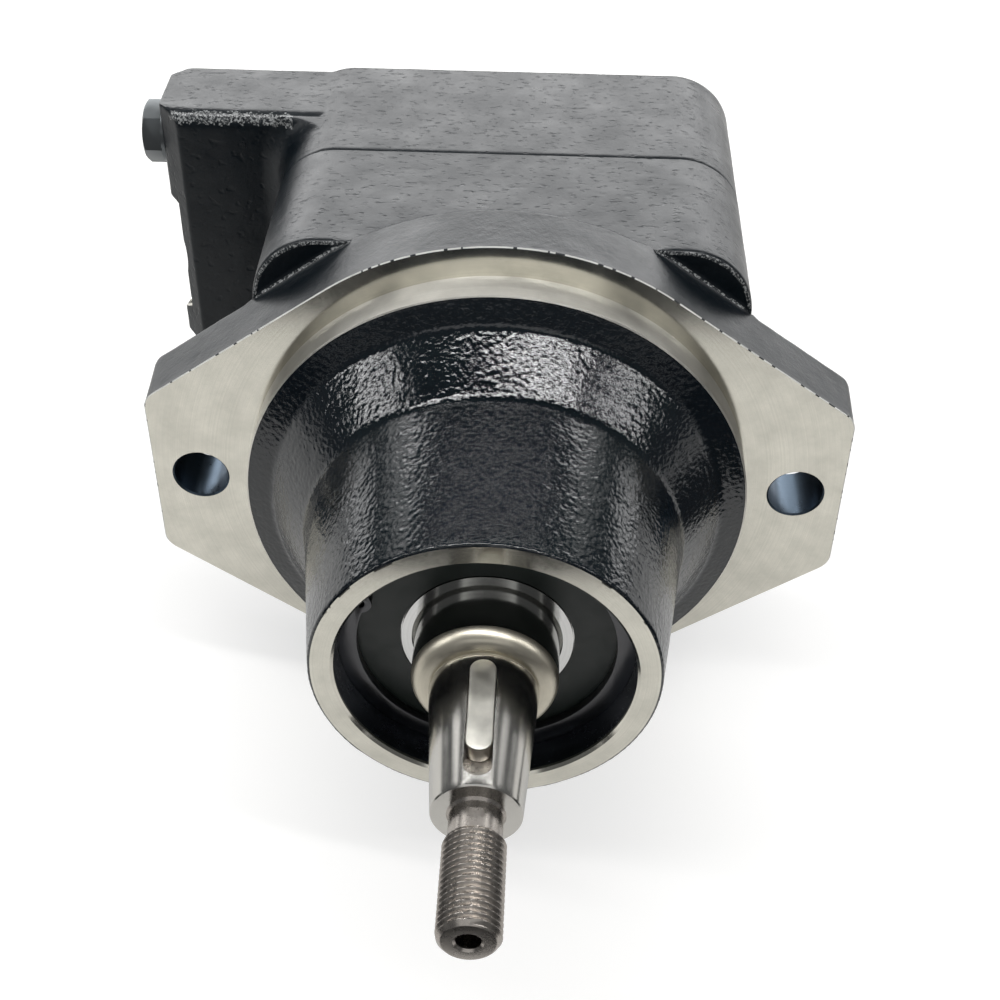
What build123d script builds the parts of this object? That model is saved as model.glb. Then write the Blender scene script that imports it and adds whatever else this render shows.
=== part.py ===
from build123d import *
from math import atan2, cos, degrees, hypot, pi, radians, sin
import os

os.makedirs("parts", exist_ok=True)

# Balanced vane motor with a tapered, threaded shaft in a long cast nose.
# The shaft runs along Y with its tip at -Y, X is to the right seen from the front and Z is up.
# The origin is on the shaft's axis, in the flange's machined front face.

# Cast nose and bell in front of the flange
FRONT_BORE_R = 36.0
NOSE_WALL = 6.2
BELL_FLARE = 10.5
BELL_LENGTH = 11.4
NOSE_ROOT_LENGTH = 26.0
NOSE_LENGTH = 70.8
NOSE_EDGE = 0.7
THROAT_FILLET = 7.0
BELL_FILLET = 4.0

# Pilot and mounting flange with two ears
PILOT_MARGIN = 1.5
PILOT_STEP = 7.0
PILOT_LENGTH = 8.8
FLANGE_SHOULDER = 8.2
FLANGE_THICK = 17.5
FLANGE_DRAFT = 2.0
BOLT_OFFSET = 15.5
BOLT_HOLE_R = 7.25
BOLT_CHAMFER = 0.45
EAR_EDGE = 12.5
EAR_HALF_HEIGHT = 25.0
EAR_CORNER_R = 6.0

# Square motor body and end cap around the vane cartridge
CARTRIDGE_R = 50.0
BODY_WALL = 14.5
BODY_CORNER_R = 18.0
BODY_EDGE = 1.4
SEAM_EDGE = 0.5
CAP_LENGTH = 51.5
CAP_REAR_EDGE = 2.4

# Port block on the cap's left side
BLOCK_REACH = 37.0
BLOCK_FRONT_INSET = 20.0
BLOCK_REAR_INSET = 1.0
BLOCK_TOP_INSET = 1.2
BLOCK_RIDGE_R = 4.2
BLOCK_REAR_R = 2.0
BLOCK_CORNER = 6.0
BLOCK_ROOT_R = 8.0
BLOCK_ROOT_X = 40.0
PORT_R = 12.2
PORT_THREAD_LENGTH = 19.0
PORT_FACE_R = 22.0
PORT_FACE_DEPTH = 2.8
PORT_PASSAGE_R = 8.5
PORT_A_DROP = 35.5
PORT_B_RISE = 29.3
PORT_PASSAGE_END_X = 34.0
PORT_SETBACK = 35.5

# Closing plug above the ports
PLUG_INSET = 13.8
PLUG_ACROSS_FLATS = 16.0
PLUG_HEAD = 5.4
PLUG_TURN = 10.0
PLUG_THREAD_R = 4.9
PLUG_THREAD_LENGTH = 11.0
PLUG_BORE_LENGTH = 26.0
PLUG_BORE_R = 2.5
PLUG_CROWN = 60.0
WASHER_R = 8.8
WASHER_THICK = 1.1

# Four cap screws
SCREW_INSET = 14.0
SCREW_R = 6.0
SCREW_HEAD_R = 9.0
SCREW_HEAD = 12.0
SCREW_SOCKET = 10.0
SCREW_SOCKET_DEPTH = 6.0
SCREW_RECESS = 13.0
SCREW_ENGAGEMENT = 24.0
SCREW_HOLE_GAP = 0.6
SCREW_TIP_GAP = 3.0
SCREW_HEAD_GAP = 0.5

# Shaft
JOURNAL_R = 17.5
JOURNAL_LENGTH = 12.6
DOME_LENGTH = 4.9
DOME_RIM = 0.6
TAPER_GROOVE_DEPTH = 0.4
TAPER_GROOVE = 0.8
TAPER_R = 13.0
TAPER_FALL = 2.77
TAPER_LENGTH = 35.7
NECK_DEPTH = 1.0
NECK_LENGTH = 7.3
THREAD_R = 7.0
THREAD_LENGTH = 25.0
THREAD_CHAMFER = 1.2
CENTRE_HOLE_R = 2.7
CENTRE_HOLE_DEPTH = 12.0
SHOULDER_HEIGHT = 3.0
SHOULDER_LENGTH = 2.6
SEAL_LAND_DEPTH = 1.5
REAR_SEAT_R = 10.0
REAR_LAND_HEIGHT = 1.0
REAR_STUB = 3.0
SHAFT_STEP_EDGE = 0.5

# Spline between shaft and rotor
SPLINE_ROOT_HEIGHT = 0.5
SPLINE_HEIGHT = 1.3
SPLINE_TEETH = 14
SPLINE_TOOTH = 2.4
SPLINE_GAP = 0.05
SPLINE_RUNOUT = 1.0
SPLINE_BURY = 1.5

# Key in the taper
KEY_WIDTH = 6.0
KEY_LENGTH = 25.3
KEY_PROUD = 0.25
KEYWAY_WIDTH = 6.4
KEYWAY_LENGTH = 32.0
KEYWAY_DEPTH = 4.4
KEYWAY_START = 1.2

# Front ball bearing, seal and their rings
BEARING_FACE_INSET = 12.3
FRONT_WIDTH = 17.0
FRONT_RACE_WALL = 3.7
FRONT_BALLS = 9
FRONT_INNER_WALL = 5.8
FRONT_OUTER_WALL = 5.4
SHIELD_INNER_WALL = 3.6
SHIELD_OUTER_WALL = 4.4
SHIELD_THICK = 1.3
SHIELD_INSET = 0.15
SHIELD_LIP_GAP = 0.3
BEARING_RING_WIDTH = 2.5
BEARING_RING_GROOVE = 1.5
BEARING_RING_DEPTH = 4.6
BEARING_RING_ANGLE = 140.0
BEARING_RING_OPENING = 23.0
RING_LUG_R = 2.9
RING_LUG_HOLE_R = 1.2
SEAL_HEIGHT = 10.0
SEAL_WIDTH = 10.0
SEAL_WALL = 1.6
SEAL_LIP_GAP = 0.05
SEAL_LIP_PLACE = 6.4
SEAL_LIP_LENGTH = 8.2
SEAL_LIP_RISE = 1.2
SEAL_RING_WIDTH = 1.5
SEAL_RING_GROOVE = 1.4
SEAL_RING_DEPTH = 3.5
SEAL_RING_OPENING = 30.0
GARTER_R = 0.9
SEAL_FLOOR_HEIGHT = 4.0

# Vane cartridge
CARTRIDGE_GAP = 0.1
CAVITY_START = 20.0
CAP_SEAT_DEPTH = 4.5
SPRING_SPACE = 2.0
DISC_SPRING_THICK = 0.9
DISC_SPRING_WIDTH = 8.5
DISC_SPRING_INSET = 1.5
PLATE_THICK = 10.0
PLATE_SHAFT_GAP = 0.4
CAM_WIDTH = 26.0
CAM_SHARE = 0.68
CAM_LIFT = 3.0
CAM_DWELL = 36.0
RAMP_POINTS = 5
ROTOR_GAP = 0.1
ROTOR_INSET = 0.4
VANES = 10
VANE_THICK = 2.4
ROTOR_HUB = 2.45
VANE_TIP_R = 1.6
VANE_TIP_GAP = 0.1
VANE_SIDE_GAP = 0.03
VANE_SINK = 0.8
VANE_FLOOR_GAP = 0.2
SPRING_R = 1.1
SPRING_WIRE = 0.45
SPRING_LENGTH = 3.8
SPRING_SPREAD = 14.0
SPRING_HOLE_GAP = 0.15
KIDNEY_INSET = 3.5
KIDNEY_WIDTH = 6.0
KIDNEY_ARC = 30.0
KIDNEY_POCKET = 4.0
KIDNEY_ANGLE = 45.0
DOWEL_R = 2.5
DOWEL_INSET = 6.0
DOWEL_DEPTH = 6.0

# Cored galleries of the cap: an inner ring for one port and an outer ring for the other
GALLERY_INSET = 4.0
GALLERY_ARC = 20.0
INNER_GALLERY_INSET = 9.0
INNER_GALLERY_WIDTH = 5.0
INNER_GALLERY_START = 16.0
INNER_GALLERY_DEPTH = 30.0
OUTER_GALLERY_INSET = 3.0
OUTER_GALLERY_WIDTH = 5.0
OUTER_GALLERY_DEPTH = 11.0
PORT_GALLERY_ANGLE = 230.0
PORT_GALLERY_ARC = 24.0
PORT_GALLERY_DEPTH = 31.0

# Rear ball bearing
REAR_BORE_R = 23.5
REAR_WIDTH = 14.0
REAR_RACE_WALL = 2.78
REAR_BALLS = 8
REAR_INNER_WALL = 4.4
REAR_OUTER_WALL = 3.9
REAR_BEARING_DEPTH = 8.5
REAR_POCKET_LEDGE = 8.5
REAR_POCKET = 7.0
RACE_GAP = 0.05
CAGE_WALL = 4.0
CAGE_SIDE = 1.2
CAGE_POCKET_GAP = 0.15
BEARING_EDGE = 0.8

# General small clearance of screws, pins and rings in their holes
SLIT = 0.05

# How far a groove's cut or the block's root runs past the surface it belongs to
OVERRUN = 1.0

# Sealing rings
RING_R = 1.3
CAP_RING_OFFSET = 4.0
PLATE_RING_INSET = 2.75
RING_GROOVE_GAP = 0.1

# Sizes and places that follow from the sizes above
nose_r = FRONT_BORE_R + NOSE_WALL
seal_land_r = JOURNAL_R - SEAL_LAND_DEPTH
seal_bore_r = seal_land_r + SEAL_HEIGHT
seal_floor_r = seal_land_r + SEAL_FLOOR_HEIGHT
rear_land_r = REAR_SEAT_R + REAR_LAND_HEIGHT
spline_root_r = rear_land_r + SPLINE_ROOT_HEIGHT
spline_r = spline_root_r + SPLINE_HEIGHT
shield_inner_r = JOURNAL_R + SHIELD_INNER_WALL
shield_outer_r = FRONT_BORE_R - SHIELD_OUTER_WALL
cam_major_r = CARTRIDGE_R * CAM_SHARE
cam_minor_r = cam_major_r - CAM_LIFT
rotor_r = cam_minor_r - ROTOR_INSET
kidney_r = cam_major_r - KIDNEY_INSET
gallery_root_r = cam_major_r - GALLERY_INSET
inner_gallery_r = CARTRIDGE_R - INNER_GALLERY_INSET
outer_gallery_r = CARTRIDGE_R - OUTER_GALLERY_INSET
dowel_pitch_r = CARTRIDGE_R - DOWEL_INSET
body_half = CARTRIDGE_R + BODY_WALL
pilot_r = body_half + PILOT_MARGIN
bell_r = pilot_r - PILOT_STEP
nose_root_r = bell_r - BELL_FLARE
flange_r = pilot_r + FLANGE_SHOULDER
bolt_x = body_half + BOLT_OFFSET
ear_half_width = bolt_x + EAR_EDGE
screw_pitch = 2 * (body_half - SCREW_INSET)
cap_ring_pitch_r = CARTRIDGE_R + CAP_RING_OFFSET
body_front_y = FLANGE_THICK - BODY_EDGE
front_plate_y = CAVITY_START + SPRING_SPACE
cam_y = front_plate_y + PLATE_THICK
rear_plate_y = cam_y + CAM_WIDTH
rear_plate_end_y = rear_plate_y + PLATE_THICK
seam_y = rear_plate_end_y - CAP_SEAT_DEPTH
cap_rear_y = seam_y + CAP_LENGTH
bearing_y = BEARING_FACE_INSET - NOSE_LENGTH
bearing_end_y = bearing_y + FRONT_WIDTH
ring_y = bearing_y - BEARING_RING_WIDTH
seal_ring_y = bearing_end_y + SHOULDER_LENGTH
seal_y = seal_ring_y + SEAL_RING_WIDTH
seal_end_y = seal_y + SEAL_WIDTH
journal_y = bearing_y - JOURNAL_LENGTH
taper_y = journal_y - DOME_LENGTH
taper_end_y = taper_y - TAPER_LENGTH
thread_y = taper_end_y - NECK_LENGTH
tip_y = thread_y - THREAD_LENGTH
rear_bearing_y = seam_y + REAR_BEARING_DEPTH
rear_bearing_end_y = rear_bearing_y + REAR_WIDTH
block_front_y = seam_y + BLOCK_FRONT_INSET
block_rear_y = cap_rear_y - BLOCK_REAR_INSET
block_x = body_half + BLOCK_REACH
block_top_z = body_half - BLOCK_TOP_INSET
plug_z = block_top_z - PLUG_INSET
port_a_z = plug_z - PORT_A_DROP
port_b_z = PORT_B_RISE - block_top_z
port_y = seam_y + PORT_SETBACK
screw_seat_y = cap_rear_y - SCREW_RECESS
screw_tip_y = seam_y - SCREW_ENGAGEMENT
rotor_y = cam_y + ROTOR_GAP
rotor_width = CAM_WIDTH - 2 * ROTOR_GAP
rotor_mid_y = cam_y + CAM_WIDTH / 2
vane_tip_rest_r = cam_minor_r - VANE_TIP_GAP
spring_floor_r = spline_r + ROTOR_HUB
vane_root_r = spring_floor_r + SPRING_LENGTH + SLIT + VANE_SINK
slot_floor_r = vane_root_r - VANE_SINK - VANE_FLOOR_GAP
vane_step = 360 / VANES
inlets = (KIDNEY_ANGLE, KIDNEY_ANGLE + 180)
outlets = (180 - KIDNEY_ANGLE, 360 - KIDNEY_ANGLE)


def cross(y):
    """The sketch plane across the shaft's axis at y, seen from the front."""
    return Plane(origin=(0, y, 0), x_dir=(1, 0, 0), z_dir=(0, -1, 0))


def radial(angle, y):
    """The same plane turned so that its X points outward at an angle above +X."""
    outward = (cos(radians(angle)), 0, sin(radians(angle)))
    return Plane(origin=(0, y, 0), x_dir=outward, z_dir=(0, -1, 0))


def outward_from(angle, y, r):
    """A plane that faces outward, r from the shaft's axis."""
    outward = (cos(radians(angle)), 0, sin(radians(angle)))
    origin = (r * outward[0], y, r * outward[2])
    return Plane(origin=origin, x_dir=(0, 1, 0), z_dir=outward)


def cam_radius(angle):
    """The cam ring's inner radius: rest arcs at both radii, joined by cosine ramps."""
    ramp = 90 - CAM_DWELL
    from_minor = abs((angle + 90) % 180 - 90)
    share = min(max((from_minor - CAM_DWELL / 2) / ramp, 0), 1)
    return cam_minor_r + CAM_LIFT * (1 - cos(pi * share)) / 2


def on_cam(angle):
    """A point of the cam curve in a sketch across the axis."""
    r = cam_radius(angle)
    return (r * cos(radians(angle)), r * sin(radians(angle)))


def taper_top_plane():
    """The plane on the taper's top line, with X running towards the shaft's tip."""
    slope = hypot(TAPER_LENGTH, TAPER_FALL)
    along = (0, -TAPER_LENGTH / slope, -TAPER_FALL / slope)
    up = (0, -TAPER_FALL / slope, TAPER_LENGTH / slope)
    return Plane(origin=(0, taper_y, TAPER_R), x_dir=along, z_dir=up)


def gallery_slot(middle, arc, inner_r, outer_r):
    """A curved slot between two radii, sketched across the axis."""
    pitch_r = (inner_r + outer_r) / 2
    line = CenterArc((0, 0), pitch_r, middle - arc / 2, arc, mode=Mode.PRIVATE)
    SlotArc(line, outer_r - inner_r)


def spline_teeth(gap, mode):
    """The spline's straight teeth, sketched across the axis from inside the root circle."""
    inner_r = spline_root_r - SPLINE_BURY
    with PolarLocations(inner_r, SPLINE_TEETH):
        Rectangle(
            spline_r + gap - inner_r,
            SPLINE_TOOTH + 2 * gap,
            align=(Align.MIN, Align.CENTER),
            mode=mode,
        )


def flange_tangent():
    """Where the straight side from an ear's corner touches the flange's round."""
    reach = hypot(ear_half_width, EAR_HALF_HEIGHT)
    angle = degrees(atan2(EAR_HALF_HEIGHT, ear_half_width))
    angle += 90 - degrees(atan2(flange_r, (reach**2 - flange_r**2) ** 0.5))
    return (flange_r * cos(radians(angle)), flange_r * sin(radians(angle)))


# Front housing, one iron casting: square body, flange with two ears, pilot, bell and nose
with BuildPart() as body_block:
    with BuildSketch(cross(body_front_y)):
        RectangleRounded(2 * body_half, 2 * body_half, BODY_CORNER_R)
    extrude(amount=body_front_y - seam_y)
    fillet(faces().sort_by(Axis.Y)[0].edges(), BODY_EDGE)
    chamfer(faces().sort_by(Axis.Y)[-1].edges(), SEAM_EDGE)

touch = flange_tangent()
with BuildPart() as flange_plate:
    with BuildSketch(cross(0)):
        Circle(flange_r)
        with BuildLine():
            Polyline(
                (ear_half_width, -EAR_HALF_HEIGHT),
                (ear_half_width, EAR_HALF_HEIGHT),
                touch,
                (-touch[0], touch[1]),
                (-ear_half_width, EAR_HALF_HEIGHT),
                (-ear_half_width, -EAR_HALF_HEIGHT),
                (-touch[0], -touch[1]),
                (touch[0], -touch[1]),
                close=True,
            )
        make_face()
        ears = [v for v in vertices() if abs(v.X) > ear_half_width - 1]
        fillet(ears, EAR_CORNER_R)
    extrude(amount=-FLANGE_THICK, taper=-FLANGE_DRAFT)
    fillet(faces().sort_by(Axis.Y)[-1].edges(), BODY_EDGE)

with BuildPart() as nose_casting:
    with BuildSketch(Plane.YZ):
        with BuildLine():
            FilletPolyline(
                (FLANGE_THICK, 0),
                (-NOSE_LENGTH, 0),
                (-NOSE_LENGTH, nose_r),
                (-NOSE_ROOT_LENGTH, nose_root_r),
                (-BELL_LENGTH, bell_r),
                (-PILOT_LENGTH, pilot_r),
                (0, pilot_r),
                (FLANGE_THICK, pilot_r),
                radius=[0, 0, NOSE_EDGE, THROAT_FILLET, BELL_FILLET, 0, 0, 0],
                close=True,
            )
        make_face()
    revolve(axis=Axis.Y)

with BuildPart() as housing:
    add(body_block.part)
    add(flange_plate.part)
    add(nose_casting.part)
    with BuildSketch(Plane.YZ):
        with BuildLine():
            Polyline(
                (-NOSE_LENGTH, 0),
                (-NOSE_LENGTH, FRONT_BORE_R + NOSE_EDGE),
                (NOSE_EDGE - NOSE_LENGTH, FRONT_BORE_R),
                (ring_y - RING_GROOVE_GAP, FRONT_BORE_R),
                (ring_y - RING_GROOVE_GAP, FRONT_BORE_R + BEARING_RING_GROOVE),
                (bearing_y, FRONT_BORE_R + BEARING_RING_GROOVE),
                (bearing_y, FRONT_BORE_R),
                (bearing_end_y, FRONT_BORE_R),
                (bearing_end_y, seal_bore_r),
                (seal_ring_y, seal_bore_r),
                (seal_ring_y, seal_bore_r + SEAL_RING_GROOVE),
                (seal_y, seal_bore_r + SEAL_RING_GROOVE),
                (seal_y, seal_bore_r),
                (seal_end_y, seal_bore_r),
                (seal_end_y, seal_floor_r),
                (CAVITY_START, seal_floor_r),
                (CAVITY_START, CARTRIDGE_R),
                (seam_y, CARTRIDGE_R),
                (seam_y, 0),
                close=True,
            )
        make_face()
    revolve(axis=Axis.Y, mode=Mode.SUBTRACT)
    with BuildSketch(cross(0)):
        with GridLocations(2 * bolt_x, 0, 2, 1):
            Circle(BOLT_HOLE_R)
    extrude(amount=-FLANGE_THICK, mode=Mode.SUBTRACT)
    bolt_rims = edges().filter_by(GeomType.CIRCLE).filter_by(lambda e: abs(e.radius - BOLT_HOLE_R) < SLIT)
    chamfer(bolt_rims, BOLT_CHAMFER)
    with BuildSketch(cross(screw_tip_y - SCREW_TIP_GAP)):
        with GridLocations(screw_pitch, screw_pitch, 2, 2):
            Circle(SCREW_R + SLIT)
    extrude(amount=-(SCREW_ENGAGEMENT + SCREW_TIP_GAP), mode=Mode.SUBTRACT)
housing.part.label = "housing"
export_step(housing.part, "parts/housing.step")

# End cap with its port block, one iron casting
with BuildPart() as cap_block:
    with BuildSketch(cross(seam_y)):
        RectangleRounded(2 * body_half, 2 * body_half, BODY_CORNER_R)
    extrude(amount=-CAP_LENGTH)
    chamfer(faces().sort_by(Axis.Y)[0].edges(), SEAM_EDGE)
    fillet(faces().sort_by(Axis.Y)[-1].edges(), CAP_REAR_EDGE)

with BuildPart() as port_block:
    with BuildSketch(Plane.YZ.offset(-block_x)):
        with BuildLine():
            FilletPolyline(
                (block_front_y, -block_top_z),
                (block_front_y, block_top_z),
                (block_rear_y, block_top_z),
                (block_rear_y, -block_top_z),
                radius=[BLOCK_RIDGE_R, BLOCK_RIDGE_R, BLOCK_REAR_R, BLOCK_REAR_R],
                close=True,
            )
        make_face()
    extrude(amount=block_x - BLOCK_ROOT_X)
    with BuildSketch(Plane.XY.offset(-body_half)):
        with Locations((-block_x, block_front_y), (-block_x, block_rear_y)):
            Rectangle(BLOCK_CORNER * 2**0.5, BLOCK_CORNER * 2**0.5, rotation=45)
    extrude(amount=2 * body_half, mode=Mode.SUBTRACT)

# The concave root runs round the cap's outline, from under the block to over it
outline_start = body_half - BODY_CORNER_R
with BuildPart() as block_root:
    with BuildLine(cross(block_front_y)) as outline:
        l1 = JernArc((-outline_start, -body_half), (-1, 0), BODY_CORNER_R, -90)
        l2 = Line(l1 @ 1, (-body_half, outline_start))
        JernArc(l2 @ 1, (0, 1), BODY_CORNER_R, -90)
    root_plane = Plane(
        origin=(-outline_start, block_front_y, -body_half), x_dir=(0, 0, -1), z_dir=(-1, 0, 0)
    )
    with BuildSketch(root_plane):
        with BuildLine():
            Polyline(
                (0, BLOCK_ROOT_R),
                (-OVERRUN, BLOCK_ROOT_R),
                (-OVERRUN, -OVERRUN),
                (BLOCK_ROOT_R, -OVERRUN),
                (BLOCK_ROOT_R, 0),
            )
            TangentArc((BLOCK_ROOT_R, 0), (0, BLOCK_ROOT_R), tangent=(-1, 0))
        make_face()
    sweep(path=outline.line)
    split(bisect_by=Plane.XY.offset(block_top_z), keep=Keep.BOTTOM)
    split(bisect_by=Plane.XY.offset(-block_top_z), keep=Keep.TOP)

with BuildPart() as end_cap:
    add(cap_block.part)
    add(port_block.part)
    add(block_root.part)
    with BuildSketch(Plane.YZ):
        with BuildLine():
            Polyline(
                (seam_y, 0),
                (seam_y, CARTRIDGE_R),
                (rear_plate_end_y, CARTRIDGE_R),
                (rear_plate_end_y, REAR_BORE_R),
                (rear_bearing_end_y, REAR_BORE_R),
                (rear_bearing_end_y, REAR_BORE_R - REAR_POCKET_LEDGE),
                (rear_bearing_end_y + REAR_POCKET, REAR_BORE_R - REAR_POCKET_LEDGE),
                (rear_bearing_end_y + REAR_POCKET, 0),
                close=True,
            )
        make_face()
    revolve(axis=Axis.Y, mode=Mode.SUBTRACT)
    with BuildSketch(cross(seam_y)):
        Circle(cap_ring_pitch_r + RING_R + RING_GROOVE_GAP)
        Circle(cap_ring_pitch_r - RING_R - RING_GROOVE_GAP, mode=Mode.SUBTRACT)
    extrude(amount=-2 * RING_R, mode=Mode.SUBTRACT)
    with BuildSketch(cross(rear_plate_end_y)):
        for middle in inlets:
            gallery_slot(middle, GALLERY_ARC, gallery_root_r, inner_gallery_r)
    extrude(amount=-INNER_GALLERY_DEPTH, mode=Mode.SUBTRACT)
    with BuildSketch(cross(rear_plate_end_y + INNER_GALLERY_START)):
        Circle(inner_gallery_r)
        Circle(inner_gallery_r - INNER_GALLERY_WIDTH, mode=Mode.SUBTRACT)
    extrude(amount=INNER_GALLERY_START - INNER_GALLERY_DEPTH, mode=Mode.SUBTRACT)
    with BuildSketch(cross(rear_plate_end_y)):
        Circle(outer_gallery_r)
        Circle(outer_gallery_r - OUTER_GALLERY_WIDTH, mode=Mode.SUBTRACT)
        for middle in outlets:
            gallery_slot(middle, GALLERY_ARC, gallery_root_r, outer_gallery_r)
    extrude(amount=-OUTER_GALLERY_DEPTH, mode=Mode.SUBTRACT)
    with BuildSketch(cross(rear_plate_end_y)):
        outer_root_r = outer_gallery_r - OUTER_GALLERY_WIDTH
        gallery_slot(PORT_GALLERY_ANGLE, PORT_GALLERY_ARC, outer_root_r, outer_gallery_r)
    extrude(amount=-PORT_GALLERY_DEPTH, mode=Mode.SUBTRACT)
    with BuildSketch(Plane.YZ.offset(-block_x)):
        with Locations((port_y, port_a_z), (port_y, port_b_z)):
            Circle(PORT_FACE_R)
    extrude(amount=PORT_FACE_DEPTH, mode=Mode.SUBTRACT)
    with BuildSketch(Plane.YZ.offset(PORT_FACE_DEPTH - block_x)):
        with Locations((port_y, port_a_z), (port_y, port_b_z)):
            Circle(PORT_R)
    extrude(amount=PORT_THREAD_LENGTH, mode=Mode.SUBTRACT)
    with BuildSketch(Plane.YZ.offset(-block_x)):
        with Locations((port_y, port_a_z), (port_y, port_b_z)):
            Circle(PORT_PASSAGE_R)
    extrude(amount=block_x - PORT_PASSAGE_END_X, mode=Mode.SUBTRACT)
    with BuildSketch(Plane.YZ.offset(-block_x)):
        with Locations((port_y, plug_z)):
            Circle(PLUG_THREAD_R + SLIT)
    extrude(amount=PLUG_THREAD_LENGTH, mode=Mode.SUBTRACT)
    with BuildSketch(Plane.YZ.offset(-block_x)):
        with Locations((port_y, plug_z)):
            Circle(PLUG_BORE_R)
    extrude(amount=PLUG_BORE_LENGTH, mode=Mode.SUBTRACT)
    with BuildSketch(cross(seam_y)):
        with GridLocations(screw_pitch, screw_pitch, 2, 2):
            Circle(SCREW_R + SCREW_HOLE_GAP)
    extrude(amount=-CAP_LENGTH, mode=Mode.SUBTRACT)
    with BuildSketch(cross(screw_seat_y)):
        with GridLocations(screw_pitch, screw_pitch, 2, 2):
            Circle(SCREW_HEAD_R + SCREW_HEAD_GAP)
    extrude(amount=-SCREW_RECESS, mode=Mode.SUBTRACT)
end_cap.part.label = "end_cap"
export_step(end_cap.part, "parts/end_cap.step")

# Four socket-head screws through the cap into the housing
with BuildPart() as cap_screws:
    with BuildSketch(cross(screw_tip_y)):
        with GridLocations(screw_pitch, screw_pitch, 2, 2):
            Circle(SCREW_R)
    extrude(amount=screw_tip_y - screw_seat_y)
    with BuildSketch(cross(screw_seat_y)):
        with GridLocations(screw_pitch, screw_pitch, 2, 2):
            Circle(SCREW_HEAD_R)
    extrude(amount=-SCREW_HEAD)
    with BuildSketch(cross(screw_seat_y + SCREW_HEAD)):
        with GridLocations(screw_pitch, screw_pitch, 2, 2):
            RegularPolygon(SCREW_SOCKET / 2, 6, major_radius=False)
    extrude(amount=SCREW_SOCKET_DEPTH, mode=Mode.SUBTRACT)
cap_screws.part.label = "cap_screws"
export_step(cap_screws.part, "parts/cap_screws.step")

# Hexagon plug above the ports, and the washer under its head
with BuildPart() as drain_plug:
    with BuildSketch(Plane.YZ.offset(-block_x - WASHER_THICK)):
        with Locations((port_y, plug_z)):
            RegularPolygon(PLUG_ACROSS_FLATS / 2, 6, major_radius=False, rotation=PLUG_TURN)
    extrude(amount=-PLUG_HEAD)
    with BuildSketch(Plane.YZ.offset(-block_x - WASHER_THICK - PLUG_HEAD)):
        with Locations((port_y, plug_z)):
            Circle(PLUG_ACROSS_FLATS / 2)
    extrude(amount=PLUG_HEAD, taper=-PLUG_CROWN, mode=Mode.INTERSECT)
    with BuildSketch(Plane.YZ.offset(-block_x - WASHER_THICK)):
        with Locations((port_y, plug_z)):
            Circle(PLUG_THREAD_R)
    extrude(amount=WASHER_THICK + PLUG_THREAD_LENGTH)
drain_plug.part.label = "drain_plug"
export_step(drain_plug.part, "parts/drain_plug.step")

with BuildPart() as plug_washer:
    with BuildSketch(Plane.YZ.offset(-block_x)):
        with Locations((port_y, plug_z)):
            Circle(WASHER_R)
            Circle(PLUG_THREAD_R + SLIT, mode=Mode.SUBTRACT)
    extrude(amount=-WASHER_THICK)
plug_washer.part.label = "plug_washer"
export_step(plug_washer.part, "parts/plug_washer.step")

# Vane cartridge: two plates with the cam ring between them, on two dowel pins
with BuildPart() as front_plate:
    with BuildSketch(cross(front_plate_y)):
        Circle(CARTRIDGE_R - CARTRIDGE_GAP)
        Circle(seal_land_r + PLATE_SHAFT_GAP, mode=Mode.SUBTRACT)
    extrude(amount=-PLATE_THICK)
    with BuildSketch(cross(front_plate_y + PLATE_RING_INSET - RING_R - RING_GROOVE_GAP)):
        Circle(CARTRIDGE_R + OVERRUN)
        Circle(CARTRIDGE_R - 2 * RING_R, mode=Mode.SUBTRACT)
    extrude(amount=-2 * (RING_R + RING_GROOVE_GAP), mode=Mode.SUBTRACT)
    with BuildSketch(cross(cam_y - KIDNEY_POCKET)):
        for middle in inlets + outlets:
            gallery_slot(middle, KIDNEY_ARC, kidney_r - KIDNEY_WIDTH / 2, kidney_r + KIDNEY_WIDTH / 2)
    extrude(amount=-KIDNEY_POCKET, mode=Mode.SUBTRACT)
    with BuildSketch(cross(cam_y - DOWEL_DEPTH)):
        with GridLocations(0, 2 * dowel_pitch_r, 1, 2):
            Circle(DOWEL_R + SLIT)
    extrude(amount=-DOWEL_DEPTH, mode=Mode.SUBTRACT)
front_plate.part.label = "front_plate"
export_step(front_plate.part, "parts/front_plate.step")

with BuildPart() as rear_plate:
    with BuildSketch(cross(rear_plate_y)):
        Circle(CARTRIDGE_R - CARTRIDGE_GAP)
        Circle(rear_land_r + PLATE_SHAFT_GAP, mode=Mode.SUBTRACT)
        for middle in inlets + outlets:
            pitch = CenterArc((0, 0), kidney_r, middle - KIDNEY_ARC / 2, KIDNEY_ARC, mode=Mode.PRIVATE)
            SlotArc(pitch, KIDNEY_WIDTH, mode=Mode.SUBTRACT)
    extrude(amount=-PLATE_THICK)
    with BuildSketch(cross(rear_plate_end_y - PLATE_RING_INSET - RING_R - RING_GROOVE_GAP)):
        Circle(CARTRIDGE_R + OVERRUN)
        Circle(CARTRIDGE_R - 2 * RING_R, mode=Mode.SUBTRACT)
    extrude(amount=-2 * (RING_R + RING_GROOVE_GAP), mode=Mode.SUBTRACT)
    with BuildSketch(cross(rear_plate_y)):
        with GridLocations(0, 2 * dowel_pitch_r, 1, 2):
            Circle(DOWEL_R + SLIT)
    extrude(amount=-DOWEL_DEPTH, mode=Mode.SUBTRACT)
rear_plate.part.label = "rear_plate"
export_step(rear_plate.part, "parts/rear_plate.step")

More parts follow.
